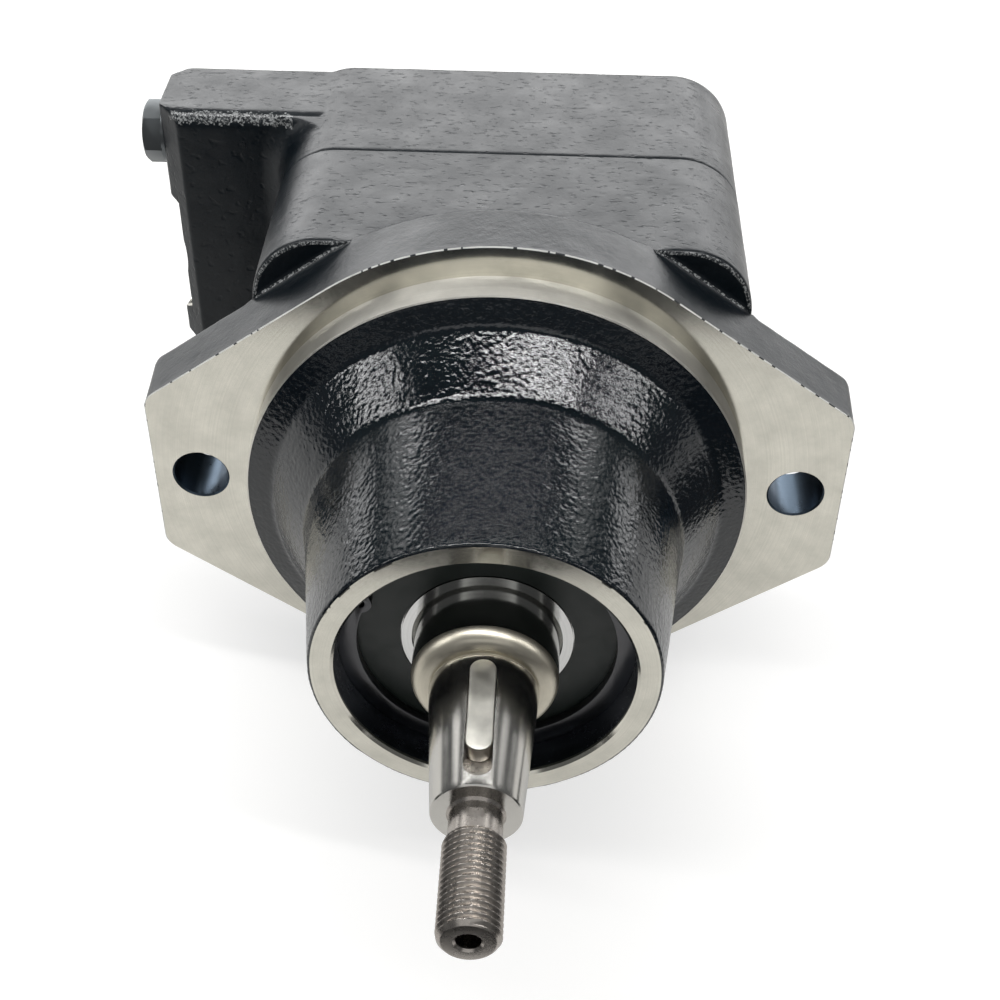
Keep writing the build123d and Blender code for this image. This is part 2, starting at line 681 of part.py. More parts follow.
with BuildPart() as cam_ring:
    with BuildSketch(cross(cam_y)):
        Circle(CARTRIDGE_R - CARTRIDGE_GAP)
        with GridLocations(0, 2 * dowel_pitch_r, 1, 2):
            Circle(DOWEL_R + SLIT, mode=Mode.SUBTRACT)
        with BuildLine():
            for quarter in (0, 90, 180, 270):
                start = quarter + CAM_DWELL / 2
                step = (90 - CAM_DWELL) / (RAMP_POINTS + 1)
                ramp = [start + step * n for n in range(RAMP_POINTS + 2)]
                ends = [(-sin(radians(a)), cos(radians(a))) for a in (ramp[0], ramp[-1])]
                Spline([on_cam(a) for a in ramp], tangents=ends)
                rest = ramp[-1]
                ThreePointArc(on_cam(rest), on_cam(rest + CAM_DWELL / 2), on_cam(rest + CAM_DWELL))
        make_face(mode=Mode.SUBTRACT)
    extrude(amount=-CAM_WIDTH)
cam_ring.part.label = "cam_ring"
export_step(cam_ring.part, "parts/cam_ring.step")

with BuildPart() as dowel_pins:
    with BuildSketch(cross(cam_y - DOWEL_DEPTH)):
        with GridLocations(0, 2 * dowel_pitch_r, 1, 2):
            Circle(DOWEL_R)
    extrude(amount=-(CAM_WIDTH + 2 * DOWEL_DEPTH))
dowel_pins.part.label = "dowel_pins"
export_step(dowel_pins.part, "parts/dowel_pins.step")

# Coned spring washer that presses the plates and the cam ring together
disc_outer_r = CARTRIDGE_R - DISC_SPRING_INSET
with BuildPart() as plate_disc_spring:
    with BuildSketch(Plane.YZ):
        with BuildLine():
            Polyline(
                (CAVITY_START, disc_outer_r),
                (CAVITY_START + DISC_SPRING_THICK, disc_outer_r),
                (front_plate_y, disc_outer_r - DISC_SPRING_WIDTH),
                (front_plate_y - DISC_SPRING_THICK, disc_outer_r - DISC_SPRING_WIDTH),
                close=True,
            )
        make_face()
    revolve(axis=Axis.Y)
plate_disc_spring.part.label = "plate_disc_spring"
export_step(plate_disc_spring.part, "parts/plate_disc_spring.step")

# Rotor with ten vane slots, spring holes under them and a splined bore
with BuildPart() as rotor:
    with BuildSketch(cross(rotor_y)):
        Circle(rotor_r)
        Circle(spline_root_r + SPLINE_GAP, mode=Mode.SUBTRACT)
        spline_teeth(SPLINE_GAP, Mode.SUBTRACT)
        with PolarLocations(slot_floor_r, VANES):
            Rectangle(
                rotor_r,
                VANE_THICK + 2 * VANE_SIDE_GAP,
                align=(Align.MIN, Align.CENTER),
                mode=Mode.SUBTRACT,
            )
    extrude(amount=-rotor_width)
    for number in range(VANES):
        with BuildSketch(outward_from(number * vane_step, rotor_mid_y, spring_floor_r)):
            with GridLocations(SPRING_SPREAD, 0, 2, 1):
                Circle(SPRING_R + SPRING_HOLE_GAP)
        extrude(amount=slot_floor_r - spring_floor_r, mode=Mode.SUBTRACT)
rotor.part.label = "rotor"
export_step(rotor.part, "parts/rotor.step")

with BuildPart() as vane_springs:
    for number in range(VANES):
        with BuildSketch(outward_from(number * vane_step, rotor_mid_y, spring_floor_r)):
            with GridLocations(SPRING_SPREAD, 0, 2, 1):
                Circle(SPRING_R)
                Circle(SPRING_R - SPRING_WIRE, mode=Mode.SUBTRACT)
        extrude(amount=SPRING_LENGTH)
vane_springs.part.label = "vane_springs"
export_step(vane_springs.part, "parts/vane_springs.step")

# Vanes at the cam's smaller radius, each with a rounded tip
tip_depth = VANE_TIP_R - (VANE_TIP_R**2 - (VANE_THICK / 2) ** 2) ** 0.5
for number in range(VANES):
    with BuildPart() as vane:
        with BuildSketch(radial(number * vane_step, rotor_y)):
            with BuildLine():
                Polyline(
                    (vane_tip_rest_r - tip_depth, VANE_THICK / 2),
                    (vane_root_r, VANE_THICK / 2),
                    (vane_root_r, -VANE_THICK / 2),
                    (vane_tip_rest_r - tip_depth, -VANE_THICK / 2),
                )
                ThreePointArc(
                    (vane_tip_rest_r - tip_depth, -VANE_THICK / 2),
                    (vane_tip_rest_r, 0),
                    (vane_tip_rest_r - tip_depth, VANE_THICK / 2),
                )
            make_face()
        extrude(amount=-rotor_width)
    name = f"vane_{number + 1:02d}"
    vane.part.label = name
    export_step(vane.part, f"parts/{name}.step")

# Shaft: threaded end, taper with a keyway, bearing journal, seal land and spline
with BuildPart() as shaft:
    with BuildSketch(Plane.YZ):
        with BuildLine():
            Polyline(
                (journal_y, JOURNAL_R),
                (bearing_end_y, JOURNAL_R),
                (bearing_end_y, JOURNAL_R + SHOULDER_HEIGHT),
                (bearing_end_y + SHOULDER_LENGTH, JOURNAL_R + SHOULDER_HEIGHT),
                (bearing_end_y + SHOULDER_LENGTH, seal_land_r),
                (cam_y - SPLINE_RUNOUT, seal_land_r),
                (cam_y - SPLINE_RUNOUT, spline_root_r),
                (rotor_y + rotor_width, spline_root_r),
                (rotor_y + rotor_width, rear_land_r),
                (rear_bearing_y, rear_land_r),
                (rear_bearing_y, REAR_SEAT_R),
                (rear_bearing_end_y + REAR_STUB - SHAFT_STEP_EDGE, REAR_SEAT_R),
                (rear_bearing_end_y + REAR_STUB, REAR_SEAT_R - SHAFT_STEP_EDGE),
                (rear_bearing_end_y + REAR_STUB, 0),
                (tip_y, 0),
                (tip_y, THREAD_R - THREAD_CHAMFER),
                (tip_y + THREAD_CHAMFER, THREAD_R),
                (thread_y, THREAD_R),
                (thread_y, THREAD_R - NECK_DEPTH),
                (taper_end_y, THREAD_R - NECK_DEPTH),
                (taper_end_y, TAPER_R - TAPER_FALL),
                (taper_y, TAPER_R),
                (taper_y, TAPER_R - TAPER_GROOVE_DEPTH),
                (taper_y + TAPER_GROOVE, TAPER_R - TAPER_GROOVE_DEPTH),
                (taper_y + TAPER_GROOVE, TAPER_R + DOME_RIM),
            )
            TangentArc((journal_y, JOURNAL_R), (taper_y + TAPER_GROOVE, TAPER_R + DOME_RIM), tangent=(-1, 0))
        make_face()
    revolve(axis=Axis.Y)
    with BuildSketch(cross(cam_y - SPLINE_RUNOUT)):
        spline_teeth(0, Mode.ADD)
    extrude(amount=cam_y - SPLINE_RUNOUT - rotor_y - rotor_width)
    with BuildSketch(cross(tip_y)):
        Circle(CENTRE_HOLE_R)
    extrude(amount=-CENTRE_HOLE_DEPTH, mode=Mode.SUBTRACT)
    with BuildSketch(taper_top_plane().offset(-KEYWAY_DEPTH)):
        with Locations((KEYWAY_START, 0)):
            SlotOverall(KEYWAY_LENGTH, KEYWAY_WIDTH, align=(Align.MIN, Align.CENTER))
    extrude(amount=2 * KEYWAY_DEPTH, mode=Mode.SUBTRACT)
shaft.part.label = "shaft"
export_step(shaft.part, "parts/shaft.step")

# Key with round ends, lying on the keyway's floor
key_play = (KEYWAY_WIDTH - KEY_WIDTH) / 2
with BuildPart() as shaft_key:
    with BuildSketch(taper_top_plane().offset(KEY_PROUD)):
        with Locations((KEYWAY_START + key_play, 0)):
            SlotOverall(KEY_LENGTH, KEY_WIDTH, align=(Align.MIN, Align.CENTER))
    extrude(amount=-KEYWAY_DEPTH - KEY_PROUD)
shaft_key.part.label = "shaft_key"
export_step(shaft_key.part, "parts/shaft_key.step")


def make_bearing(name, y, width, seat_r, bore_r, walls, balls, recess):
    """A deep-groove ball bearing: two rings, the balls and a snap cage with open pockets.

    walls are the thickness of the inner ring, of the outer ring and of both under the balls.
    recess is the width of the step for a shield at both ends of each ring, 0 for an open bearing.
    """
    inner_shoulder_r = seat_r + walls[0]
    outer_shoulder_r = bore_r - walls[1]
    middle = y + width / 2
    pitch_r = (seat_r + bore_r) / 2
    ball_r = (bore_r - seat_r) / 2 - walls[2]
    with BuildPart() as outer_ring:
        with BuildSketch(Plane.YZ):
            with Locations((middle, (outer_shoulder_r + bore_r) / 2)):
                Rectangle(width, bore_r - outer_shoulder_r)
            corners = [v for v in vertices() if v.Y > bore_r - SLIT]
            chamfer(corners, BEARING_EDGE)
            with Locations((middle, pitch_r)):
                Circle(ball_r + RACE_GAP, mode=Mode.SUBTRACT)
            if recess:
                with Locations((y, outer_shoulder_r), (y + width, outer_shoulder_r)):
                    Rectangle(2 * recess, 2 * (shield_outer_r - outer_shoulder_r), mode=Mode.SUBTRACT)
        revolve(axis=Axis.Y)
    outer_ring.part.label = f"{name}_outer_ring"
    export_step(outer_ring.part, f"parts/{name}_outer_ring.step")

    with BuildPart() as inner_ring:
        with BuildSketch(Plane.YZ):
            with Locations((middle, (seat_r + inner_shoulder_r) / 2)):
                Rectangle(width, inner_shoulder_r - seat_r)
            corners = [v for v in vertices() if v.Y < seat_r + SLIT]
            chamfer(corners, BEARING_EDGE)
            with Locations((middle, pitch_r)):
                Circle(ball_r + RACE_GAP, mode=Mode.SUBTRACT)
            if recess:
                step = inner_shoulder_r - shield_inner_r + SHIELD_LIP_GAP
                with Locations((y, inner_shoulder_r), (y + width, inner_shoulder_r)):
                    Rectangle(2 * recess, 2 * step, mode=Mode.SUBTRACT)
        revolve(axis=Axis.Y)
    inner_ring.part.label = f"{name}_inner_ring"
    export_step(inner_ring.part, f"parts/{name}_inner_ring.step")

    with BuildPart(cross(middle)) as ball_set:
        with PolarLocations(pitch_r, balls):
            Sphere(ball_r)
    ball_set.part.label = f"{name}_balls"
    export_step(ball_set.part, f"parts/{name}_balls.step")

    with BuildPart(cross(middle)) as cage:
        with BuildSketch(cross(middle - ball_r / 2)):
            Circle(pitch_r + CAGE_WALL / 2)
            Circle(pitch_r - CAGE_WALL / 2, mode=Mode.SUBTRACT)
        extrude(amount=-(1.5 * ball_r + CAGE_SIDE))
        with PolarLocations(pitch_r, balls):
            Sphere(ball_r + CAGE_POCKET_GAP, mode=Mode.SUBTRACT)
    cage.part.label = f"{name}_cage"
    export_step(cage.part, f"parts/{name}_cage.step")


make_bearing(
    "front_bearing",
    bearing_y,
    FRONT_WIDTH,
    JOURNAL_R,
    FRONT_BORE_R,
    (FRONT_INNER_WALL, FRONT_OUTER_WALL, FRONT_RACE_WALL),
    FRONT_BALLS,
    SHIELD_INSET + SHIELD_THICK,
)
make_bearing(
    "rear_bearing",
    rear_bearing_y,
    REAR_WIDTH,
    REAR_SEAT_R,
    REAR_BORE_R,
    (REAR_INNER_WALL, REAR_OUTER_WALL, REAR_RACE_WALL),
    REAR_BALLS,
    0,
)

# Rubber shields in both ends of the front bearing
with BuildPart() as front_bearing_shields:
    for shield_y in (bearing_y + SHIELD_INSET, bearing_end_y - SHIELD_INSET - SHIELD_THICK):
        with BuildSketch(cross(shield_y)):
            Circle(shield_outer_r)
            Circle(shield_inner_r, mode=Mode.SUBTRACT)
        extrude(amount=-SHIELD_THICK)
front_bearing_shields.part.label = "front_bearing_shields"
export_step(front_bearing_shields.part, "parts/front_bearing_shields.step")


def make_snap_ring(name, y, width, groove_r, inner_r, middle, opening):
    """An inside snap ring with an eye at both ends of its opening."""
    ends = (middle - opening / 2, middle + opening / 2)
    reach = 2 * groove_r
    eye_pitch_r = inner_r + RING_LUG_R / 2
    eye_turn = degrees(RING_LUG_R / eye_pitch_r)
    with BuildPart() as snap_ring:
        with BuildSketch(cross(y)):
            Circle(groove_r - SLIT)
            Circle(inner_r, mode=Mode.SUBTRACT)
            for end, side in zip(ends, (-1, 1)):
                angle = radians(end + side * eye_turn)
                with Locations((eye_pitch_r * cos(angle), eye_pitch_r * sin(angle))):
                    Circle(RING_LUG_R)
            with BuildLine():
                Polyline(
                    (0, 0),
                    (reach * cos(radians(ends[0])), reach * sin(radians(ends[0]))),
                    (reach * cos(radians(ends[1])), reach * sin(radians(ends[1]))),
                    close=True,
                )
            make_face(mode=Mode.SUBTRACT)
            for end, side in zip(ends, (-1, 1)):
                angle = radians(end + side * eye_turn)
                with Locations((eye_pitch_r * cos(angle), eye_pitch_r * sin(angle))):
                    Circle(RING_LUG_HOLE_R, mode=Mode.SUBTRACT)
        extrude(amount=-width)
    snap_ring.part.label = name
    export_step(snap_ring.part, f"parts/{name}.step")


make_snap_ring(
    "bearing_snap_ring",
    ring_y,
    BEARING_RING_WIDTH,
    FRONT_BORE_R + BEARING_RING_GROOVE,
    FRONT_BORE_R - BEARING_RING_DEPTH,
    BEARING_RING_ANGLE,
    BEARING_RING_OPENING,
)
make_snap_ring(
    "seal_snap_ring",
    seal_ring_y,
    SEAL_RING_WIDTH,
    seal_bore_r + SEAL_RING_GROOVE,
    seal_bore_r - SEAL_RING_DEPTH,
    90,
    SEAL_RING_OPENING,
)

# Lip seal: an outer wall in the bore, a front wall and a lip that points to the oil side
lip_y = seal_y + SEAL_LIP_PLACE
lip_end_y = seal_y + SEAL_LIP_LENGTH
lip_r = seal_land_r + SEAL_LIP_GAP
with BuildPart() as shaft_seal:
    with BuildSketch(Plane.YZ):
        with BuildLine():
            Polyline(
                (seal_y, seal_bore_r),
                (seal_end_y, seal_bore_r),
                (seal_end_y, seal_bore_r - SEAL_WALL),
                (seal_y + SEAL_WALL, seal_bore_r - SEAL_WALL),
                (seal_y + SEAL_WALL, lip_r + 2 * SEAL_WALL),
                (lip_y - SEAL_LIP_RISE, lip_r + SEAL_WALL),
                (lip_end_y, lip_r + SEAL_WALL),
                (lip_end_y, lip_r + SEAL_LIP_RISE),
                (lip_y, lip_r),
                (seal_y, lip_r + 2 * SEAL_LIP_RISE),
                close=True,
            )
        make_face()
    revolve(axis=Axis.Y)
shaft_seal.part.label = "shaft_seal"
export_step(shaft_seal.part, "parts/shaft_seal.step")


def make_round_ring(name, y, middle_r, section_r):
    """A ring of round section, such as a sealing ring or a seal's spring."""
    with BuildPart() as round_ring:
        with BuildSketch(Plane.YZ):
            with Locations((y, middle_r)):
                Circle(section_r)
        revolve(axis=Axis.Y)
    round_ring.part.label = name
    export_step(round_ring.part, f"parts/{name}.step")


make_round_ring("seal_garter_spring", lip_y + GARTER_R, lip_r + SEAL_WALL + GARTER_R, GARTER_R)
make_round_ring("cap_seal_ring", seam_y + RING_R, cap_ring_pitch_r, RING_R)
make_round_ring("front_plate_seal_ring", front_plate_y + PLATE_RING_INSET, CARTRIDGE_R - RING_R, RING_R)
make_round_ring("rear_plate_seal_ring", rear_plate_end_y - PLATE_RING_INSET, CARTRIDGE_R - RING_R, RING_R)
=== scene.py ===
import itertools
import math

import bmesh
import bpy
import numpy as np
from mathutils import Matrix, Vector


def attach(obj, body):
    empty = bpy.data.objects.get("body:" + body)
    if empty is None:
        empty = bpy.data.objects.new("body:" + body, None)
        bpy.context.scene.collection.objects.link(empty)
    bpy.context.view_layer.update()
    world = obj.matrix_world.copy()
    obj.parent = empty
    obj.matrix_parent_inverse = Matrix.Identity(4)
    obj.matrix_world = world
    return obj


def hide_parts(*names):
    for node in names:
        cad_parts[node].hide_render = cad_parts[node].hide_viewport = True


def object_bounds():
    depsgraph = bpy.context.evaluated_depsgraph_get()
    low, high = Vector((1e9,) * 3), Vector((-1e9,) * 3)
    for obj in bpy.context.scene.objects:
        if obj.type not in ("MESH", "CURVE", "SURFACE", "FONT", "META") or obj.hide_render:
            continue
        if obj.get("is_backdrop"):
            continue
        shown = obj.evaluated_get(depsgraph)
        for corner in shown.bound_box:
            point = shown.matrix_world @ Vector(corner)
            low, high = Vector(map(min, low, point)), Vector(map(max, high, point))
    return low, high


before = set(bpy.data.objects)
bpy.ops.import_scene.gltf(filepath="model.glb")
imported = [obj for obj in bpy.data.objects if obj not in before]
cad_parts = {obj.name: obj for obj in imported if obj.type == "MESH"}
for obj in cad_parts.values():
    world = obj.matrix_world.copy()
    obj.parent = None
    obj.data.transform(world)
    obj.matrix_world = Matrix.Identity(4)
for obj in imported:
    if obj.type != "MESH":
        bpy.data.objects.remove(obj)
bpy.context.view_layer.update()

# Lengths of the motor are in millimetres, as on a drawing, and become metres when a mesh is made.
# y runs along the shaft's axis, 0 at the flange's face and negative towards the shaft's tip. r is measured
# from the axis.
MM = 0.001

# Nose, bell and pilot of the housing
BORE_R = 36.0
NOSE_R = 42.2
NOSE_Y = -70.8
NOSE_EDGE = 0.7
ROOT_R, ROOT_Y = 48.5, -26.0
BELL_R, BELL_Y = 59.0, -11.4
THROAT_FILLET = 7.0
BELL_FILLET = 4.0
PILOT_R, PILOT_Y = 66.0, -8.8
PILOT_CHAMFER = 0.35

# Rooms inside the housing, from the seam forwards, and the grooves of its two snap rings
CARTRIDGE_R, CARTRIDGE_END_Y = 50.0, 20.0
PASSAGE_R, PASSAGE_END_Y = 20.0, -27.4
SEAL_R, SEAL_END_Y = 26.0, -41.5
SEAL_GROOVE_R, SEAL_GROOVE_Y, SEAL_GROOVE_END_Y = 27.4, -37.4, -38.9
RING_GROOVE_R, RING_GROOVE_Y, RING_GROOVE_END_Y = 37.5, -58.5, -61.1

# Flange with two ears, and the square body behind it
FLANGE_R = 74.2
FLANGE_THICK = 17.5
FLANGE_DRAFT = math.tan(math.radians(2.0))
RIM_CHAMFER = 0.28
EAR_X, EAR_Z = 92.5, 25.0
EAR_CORNER_R = 6.0
BOLT_X, BOLT_R = 80.0, 7.25
BOLT_CHAMFER = 0.45
BODY_HALF = 64.5
BODY_CORNER_R = 18.0
BODY_EDGE = 1.4
BODY_ROOT = 1.7
SEAM_Y = 63.5
SEAM_EDGE = 0.5

# End cap with its port block
CAP_Y = 115.0
CAP_REAR_EDGE = 2.4
CAP_FLOOR_Y = 68.0
REAR_BORE_R, REAR_BORE_Y = 23.5, 86.0
REAR_ROOM_R, REAR_ROOM_LENGTH = 15, 7
SCREW_AT = 50.5
SCREW_HOLE_R = 6.6
SCREW_SEAT_R = 9.5
SCREW_SEAT_Y = 102.0
BLOCK_X = 101.5
BLOCK_INNER_X = 40.0
BLOCK_TOP = 63.3
BLOCK_FRONT_Y, BLOCK_REAR_Y = 83.5, 114.0
BLOCK_RIDGE_R = 4.2
BLOCK_REAR_R = 2.0
BLOCK_CORNER = 6.0
BLOCK_ROOT_R = 8.0
PORT_Y = 99.0
PORT_Z = (14.0, -34.0)
PORT_R = 12.2
PORT_MOUTH = 1.2
PORT_LENGTH = 19.0
PORT_PITCH, PORT_CUT, PORT_FLANK = 1.8, 0.9, 2.6
PORT_THREAD_START, PORT_RUNOUT = 1.3, 2.5
PORT_PASSAGE_R, PORT_PASSAGE_END_X = 8.5, 34
SPOT_R, SPOT_DEPTH = 22.0, 2.8
PLUG_Z = 49.5
PLUG_HOLE_R = 4.95
PLUG_HOLE_LENGTH = 11.0
PLUG_SEAT_R, PLUG_SEAT_DEPTH = 10.2, 0.25

# Shaft. SHAFT_STEPS holds each radius behind the journal, from the rear, and where it ends
SHAFT_REAR_Y, SHAFT_REAR_EDGE = 89, 0.5
SHAFT_STEPS = ((10, 72), (11, 57.9), (11.5, 31), (16, -38.9), (20.5, -41.5))
JOURNAL_R, JOURNAL_Y = 17.5, -71.1
DOME_R = 13.6
TAPER_R, TAPER_END_R = 13.0, 10.23
TAPER_Y, TAPER_END_Y = -76.0, -111.7
TAPER_EDGE, TAPER_END_EDGE = 0.15, 0.3
GROOVE_R, GROOVE, GROOVE_EDGE = 12.6, 0.8, 0.1
NECK_R, NECK_ROOT = 6.0, 0.6
THREAD_Y, TIP_Y = -119.0, -144.0
THREAD_R, THREAD_DEPTH, THREAD_PITCH = 7.0, 0.82, 1.5
THREAD_FLANK, THREAD_CREST = 2.3, 0.06
THREAD_CHAMFER = 1.2
THREAD_START_DROP, THREAD_START_SLOPE = 1.0, 1.2
CENTRE_R, CENTRE_DEPTH, CENTRE_EDGE, CENTRE_POINT = 2.7, 12.0, 0.5, 1.5
KEYWAY_START, KEYWAY_LENGTH, KEYWAY_WIDTH, KEYWAY_DEPTH = 1.2, 32.0, 6.4, 4.4

# The housing's skin: directions round the axis, distance between its rows, and rows of each part
ANGLES = 1000
FINE = 0.36
COARSE = 0.62
FACE_ROWS, RIM_ROWS, SHOULDER_ROWS = 22, 34, 26
EDGE_ANGLES = np.radians([22.5, 45, 67.5, 90])

# Rows of the shaft's dome and taper, and of one pitch of the threads, and the sides of what is round
DOME_ROWS, TAPER_ROWS, THREAD_ROWS, PORT_ROWS = 14, 40, 14, 10
SHAFT_SIDES, CAVITY_SIDES, PORT_SIDES, HOLE_SIDES = 288, 128, 96, 64

# How rough the casting is, from 0 where it is machined to 1 on the nose, and how it fades from row to row
NOSE_CAST, FLANGE_CAST, BODY_CAST, SEAM_CAST, CAP_CAST = 1, 0.6, 0.45, 0.2, 0.5
FADE_ROUNDS, FADE_STEP = 3, 0.02

# Layers of the sand-cast skin: the size of their bumps, a shift and a seed, and then their height
SMALL_BUMPS, BUMP_HEIGHT, BUMP_POWER = (0.95, 0, 11), 0.064, 1.7
WIDE_WAVES, WAVE_HEIGHT = (6.0, 80, 13), 0.06
DENTS, DENT_DEPTH, DENT_LEVEL = ((3.4, 1.6, 3.4), 120, 14), 0.34, 0.50
SKIN_SINK = 0.12

# The ragged borders of the paint: bare above a level of noise at the flange's front edge, and grey specks on
# the block's ridge left of RIDGE_X, from its front back and from its top down, which are rubbed paint and a
# painted highlight
RIM_RAGGED, BARE_LEVEL = (1.6, 0, 15), -0.35
RIDGE_RAGGED = (1.4, 0, 16)
RIDGE_X, RIDGE_BACK, RIDGE_DROP = -62, 2.6, 3.0

# Size of the cap's surface mesh and how it is smoothed
VOXEL = 0.55
SOFTEN, SOFTEN_ROUNDS = 0.5, 3

# Cutters start outside what they cut
CUT_START_Y = 40
CUT_LEAD = 4

# Edges that bend by more degrees than this are sharp
SMOOTH_ANGLE, FINE_SMOOTH_ANGLE = 30, 35


# Noise and mesh tools. The gain brings the noise to about -1 to 1

NOISE_GAIN = 1.7


def gradient_noise(points, size, shift, seed):
    """Smooth noise from about -1 to 1, with bumps about size apart."""
    points = points / np.asarray(size) + shift
    rng = np.random.default_rng(seed)
    order = rng.permutation(256)
    table = rng.normal(size=(256, 3))
    table /= np.linalg.norm(table, axis=1)[:, None]
    cell = np.floor(points).astype(np.int64)
    local = points - cell
    fade = local**3 * (local * (local * 6 - 15) + 10)
    total = np.zeros(len(points))
    for corner in itertools.product((0, 1), repeat=3):
        x, y, z = ((cell + corner) & 255).T
        slope = table[order[(order[(order[x] + y) & 255] + z) & 255]]
        share = np.where(corner, fade, 1 - fade).prod(1)
        total += (slope * (local - corner)).sum(1) * share
    return total * NOISE_GAIN


def shade(piece, smooth_angle):
    mesh = piece.data
    mesh.polygons.foreach_set("use_smooth", np.ones(len(mesh.polygons), bool))
    mesh.set_sharp_from_angle(angle=math.radians(smooth_angle))


def new_piece(name, mesh, smooth_angle=SMOOTH_ANGLE):
    piece = bpy.data.objects.new(name, mesh)
    bpy.context.scene.collection.objects.link(piece)
    shade(piece, smooth_angle)
    return piece


def from_quads(name, points, faces):
    """A piece from points in millimetres and an array of faces with four corners each."""
    mesh = bpy.data.meshes.new(name)
    mesh.vertices.add(len(points))
    mesh.vertices.foreach_set("co", (points * MM).astype(np.float32).ravel())
    mesh.loops.add(faces.size)
    mesh.loops.foreach_set("vertex_index", faces.astype(np.int32).ravel())
    mesh.polygons.add(len(faces))
    mesh.polygons.foreach_set("loop_start", np.arange(0, faces.size, 4, dtype=np.int32))
    mesh.update(calc_edges=True)
    mesh.validate()
    return new_piece(name, mesh)


def from_bmesh(name, made, smooth_angle=SMOOTH_ANGLE, material=None):
    mesh = bpy.data.meshes.new(name)
    bmesh.ops.recalc_face_normals(made, faces=made.faces)
    made.to_mesh(mesh)
    made.free()
    piece = new_piece(name, mesh, smooth_angle)
    if material is not None:
        mesh.materials.append(material)
    return piece


def closed_grid(height, width):
    """Faces of a grid of points that closes on itself both ways, rows counted first."""
    a = np.arange(height * width).reshape(height, width)
    b = np.roll(a, -1, 1)
    return np.stack([a, b, np.roll(b, -1, 0), np.roll(a, -1, 0)], -1).reshape(-1, 4)


def read_vectors(items, key):
    flat = np.zeros(len(items) * 3, np.float32)
    items.foreach_get(key, flat)
    return flat.reshape(-1, 3).astype(float)


def points_of(mesh):
    return read_vectors(mesh.vertices, "co") / MM


def middles_of_faces(mesh):
    return read_vectors(mesh.polygons, "center") / MM


def push(piece, amount):
    """Moves each vertex along its normal by its amount in millimetres."""
    mesh = piece.data
    moved = points_of(mesh) + read_vectors(mesh.vertex_normals, "vector") * amount[:, None]
    mesh.vertices.foreach_set("co", (moved * MM).astype(np.float32).ravel())
    mesh.update()


def apply_modifiers(piece):
    graph = bpy.context.evaluated_depsgraph_get()
    mesh = bpy.data.meshes.new_from_object(piece.evaluated_get(graph))
    piece.modifiers.clear()
    piece.data = mesh


def carve(piece, cutters, smooth_angle=SMOOTH_ANGLE):
    """Cuts the cutters out of the piece and removes them. A cutter's material goes with its faces."""
    for cutter in cutters:
        step = piece.modifiers.new("cut", "BOOLEAN")
        step.solver = "MANIFOLD"
        step.operation = "DIFFERENCE"
        step.object = cutter
    apply_modifiers(piece)
    for cutter in cutters:
        bpy.data.objects.remove(cutter)
    shade(piece, smooth_angle)


def lathe(name, rows, columns, turn=(0, 1, 0), centre=(0, 0, 0), material=None, smooth_angle=SMOOTH_ANGLE):
    """A closed solid of revolution. rows are (along, radius), the first and last with radius 0.

    A radius may be an array with one value for each column.
    """
    angle = np.arange(columns) * 2 * math.pi / columns
    ring = np.stack([np.cos(angle), np.zeros(columns), np.sin(angle)], 1)
    points = [np.array([[0, rows[0][0], 0.0]])]
    for y, r in rows[1:-1]:
        points.append(ring * np.broadcast_to(np.asarray(r, float), (columns,))[:, None] + [0, y, 0])
    points.append(np.array([[0, rows[-1][0], 0.0]]))
    spin = Vector((0, 1, 0)).rotation_difference(Vector(turn)).to_matrix()
    points = np.concatenate(points) @ np.array(spin).T + np.array(centre)
    made = bmesh.new()
    verts = [made.verts.new(p * MM) for p in points]
    rings = len(rows) - 2
    last = 1 + (rings - 1) * columns
    for j in range(columns):
        k = (j + 1) % columns
        made.faces.new((verts[0], verts[1 + j], verts[1 + k]))
        made.faces.new((verts[last + k], verts[last + j], verts[-1]))
        for i in range(rings - 1):
            low, high = 1 + i * columns, 1 + (i + 1) * columns
            made.faces.new((verts[low + j], verts[high + j], verts[high + k], verts[low + k]))
    return from_bmesh(name, made, smooth_angle, material)


def stepped(start, steps):
    """Rows of a stepped solid of revolution from start. Each step is a radius and the place where it ends."""
    rows = [(start, 0)]
    for r, end in steps:
        rows += [(rows[-1][0], r), (end, r)]
    return rows + [(rows[-1][0], 0)]


def box_piece(name, low, high, material):
    made = bmesh.new()
    bmesh.ops.create_cube(made, size=1.0)
    low, high = Vector(low) * MM, Vector(high) * MM
    for v in made.verts:
        v.co = Vector(((a + b) / 2 + c * (b - a)) for a, b, c in zip(low, high, v.co))
    return from_bmesh(name, made, material=material)


def rounded_line(corners, radii, step):
    """Points along a line through the corners in a plane, its corners rounded, no further apart than step."""
    corners = [np.array(c, float) for c in corners]
    stops = [corners[0]]
    for i in range(1, len(corners) - 1):
        back, ahead = corners[i - 1] - corners[i], corners[i + 1] - corners[i]
        back, ahead = back / np.linalg.norm(back), ahead / np.linalg.norm(ahead)
        r = radii[i]
        if r == 0:
            stops.append(corners[i])
            continue
        half = math.acos(np.clip(back @ ahead, -1, 1)) / 2
        middle = (back + ahead) / np.linalg.norm(back + ahead)
        centre = corners[i] + middle * r / math.sin(half)
        start, end = corners[i] + back * r / math.tan(half), corners[i] + ahead * r / math.tan(half)
        sweep = math.pi - 2 * half
        count = max(3, int(np.ceil(r * sweep / step)))
        a, b = start - centre, end - centre
        for k in range(count + 1):
            t = k / count
            stops.append(centre + (a * math.sin((1 - t) * sweep) + b * math.sin(t * sweep)) / math.sin(sweep))
    stops.append(corners[-1])
    line = [stops[0]]
    for p, q in zip(stops, stops[1:]):
        count = max(1, int(np.ceil(np.linalg.norm(q - p) / step)))
        line += [p + (q - p) * k / count for k in range(1, count + 1)]
    return np.array(line)


# Outlines across the axis, as the radius at each of ANGLES directions

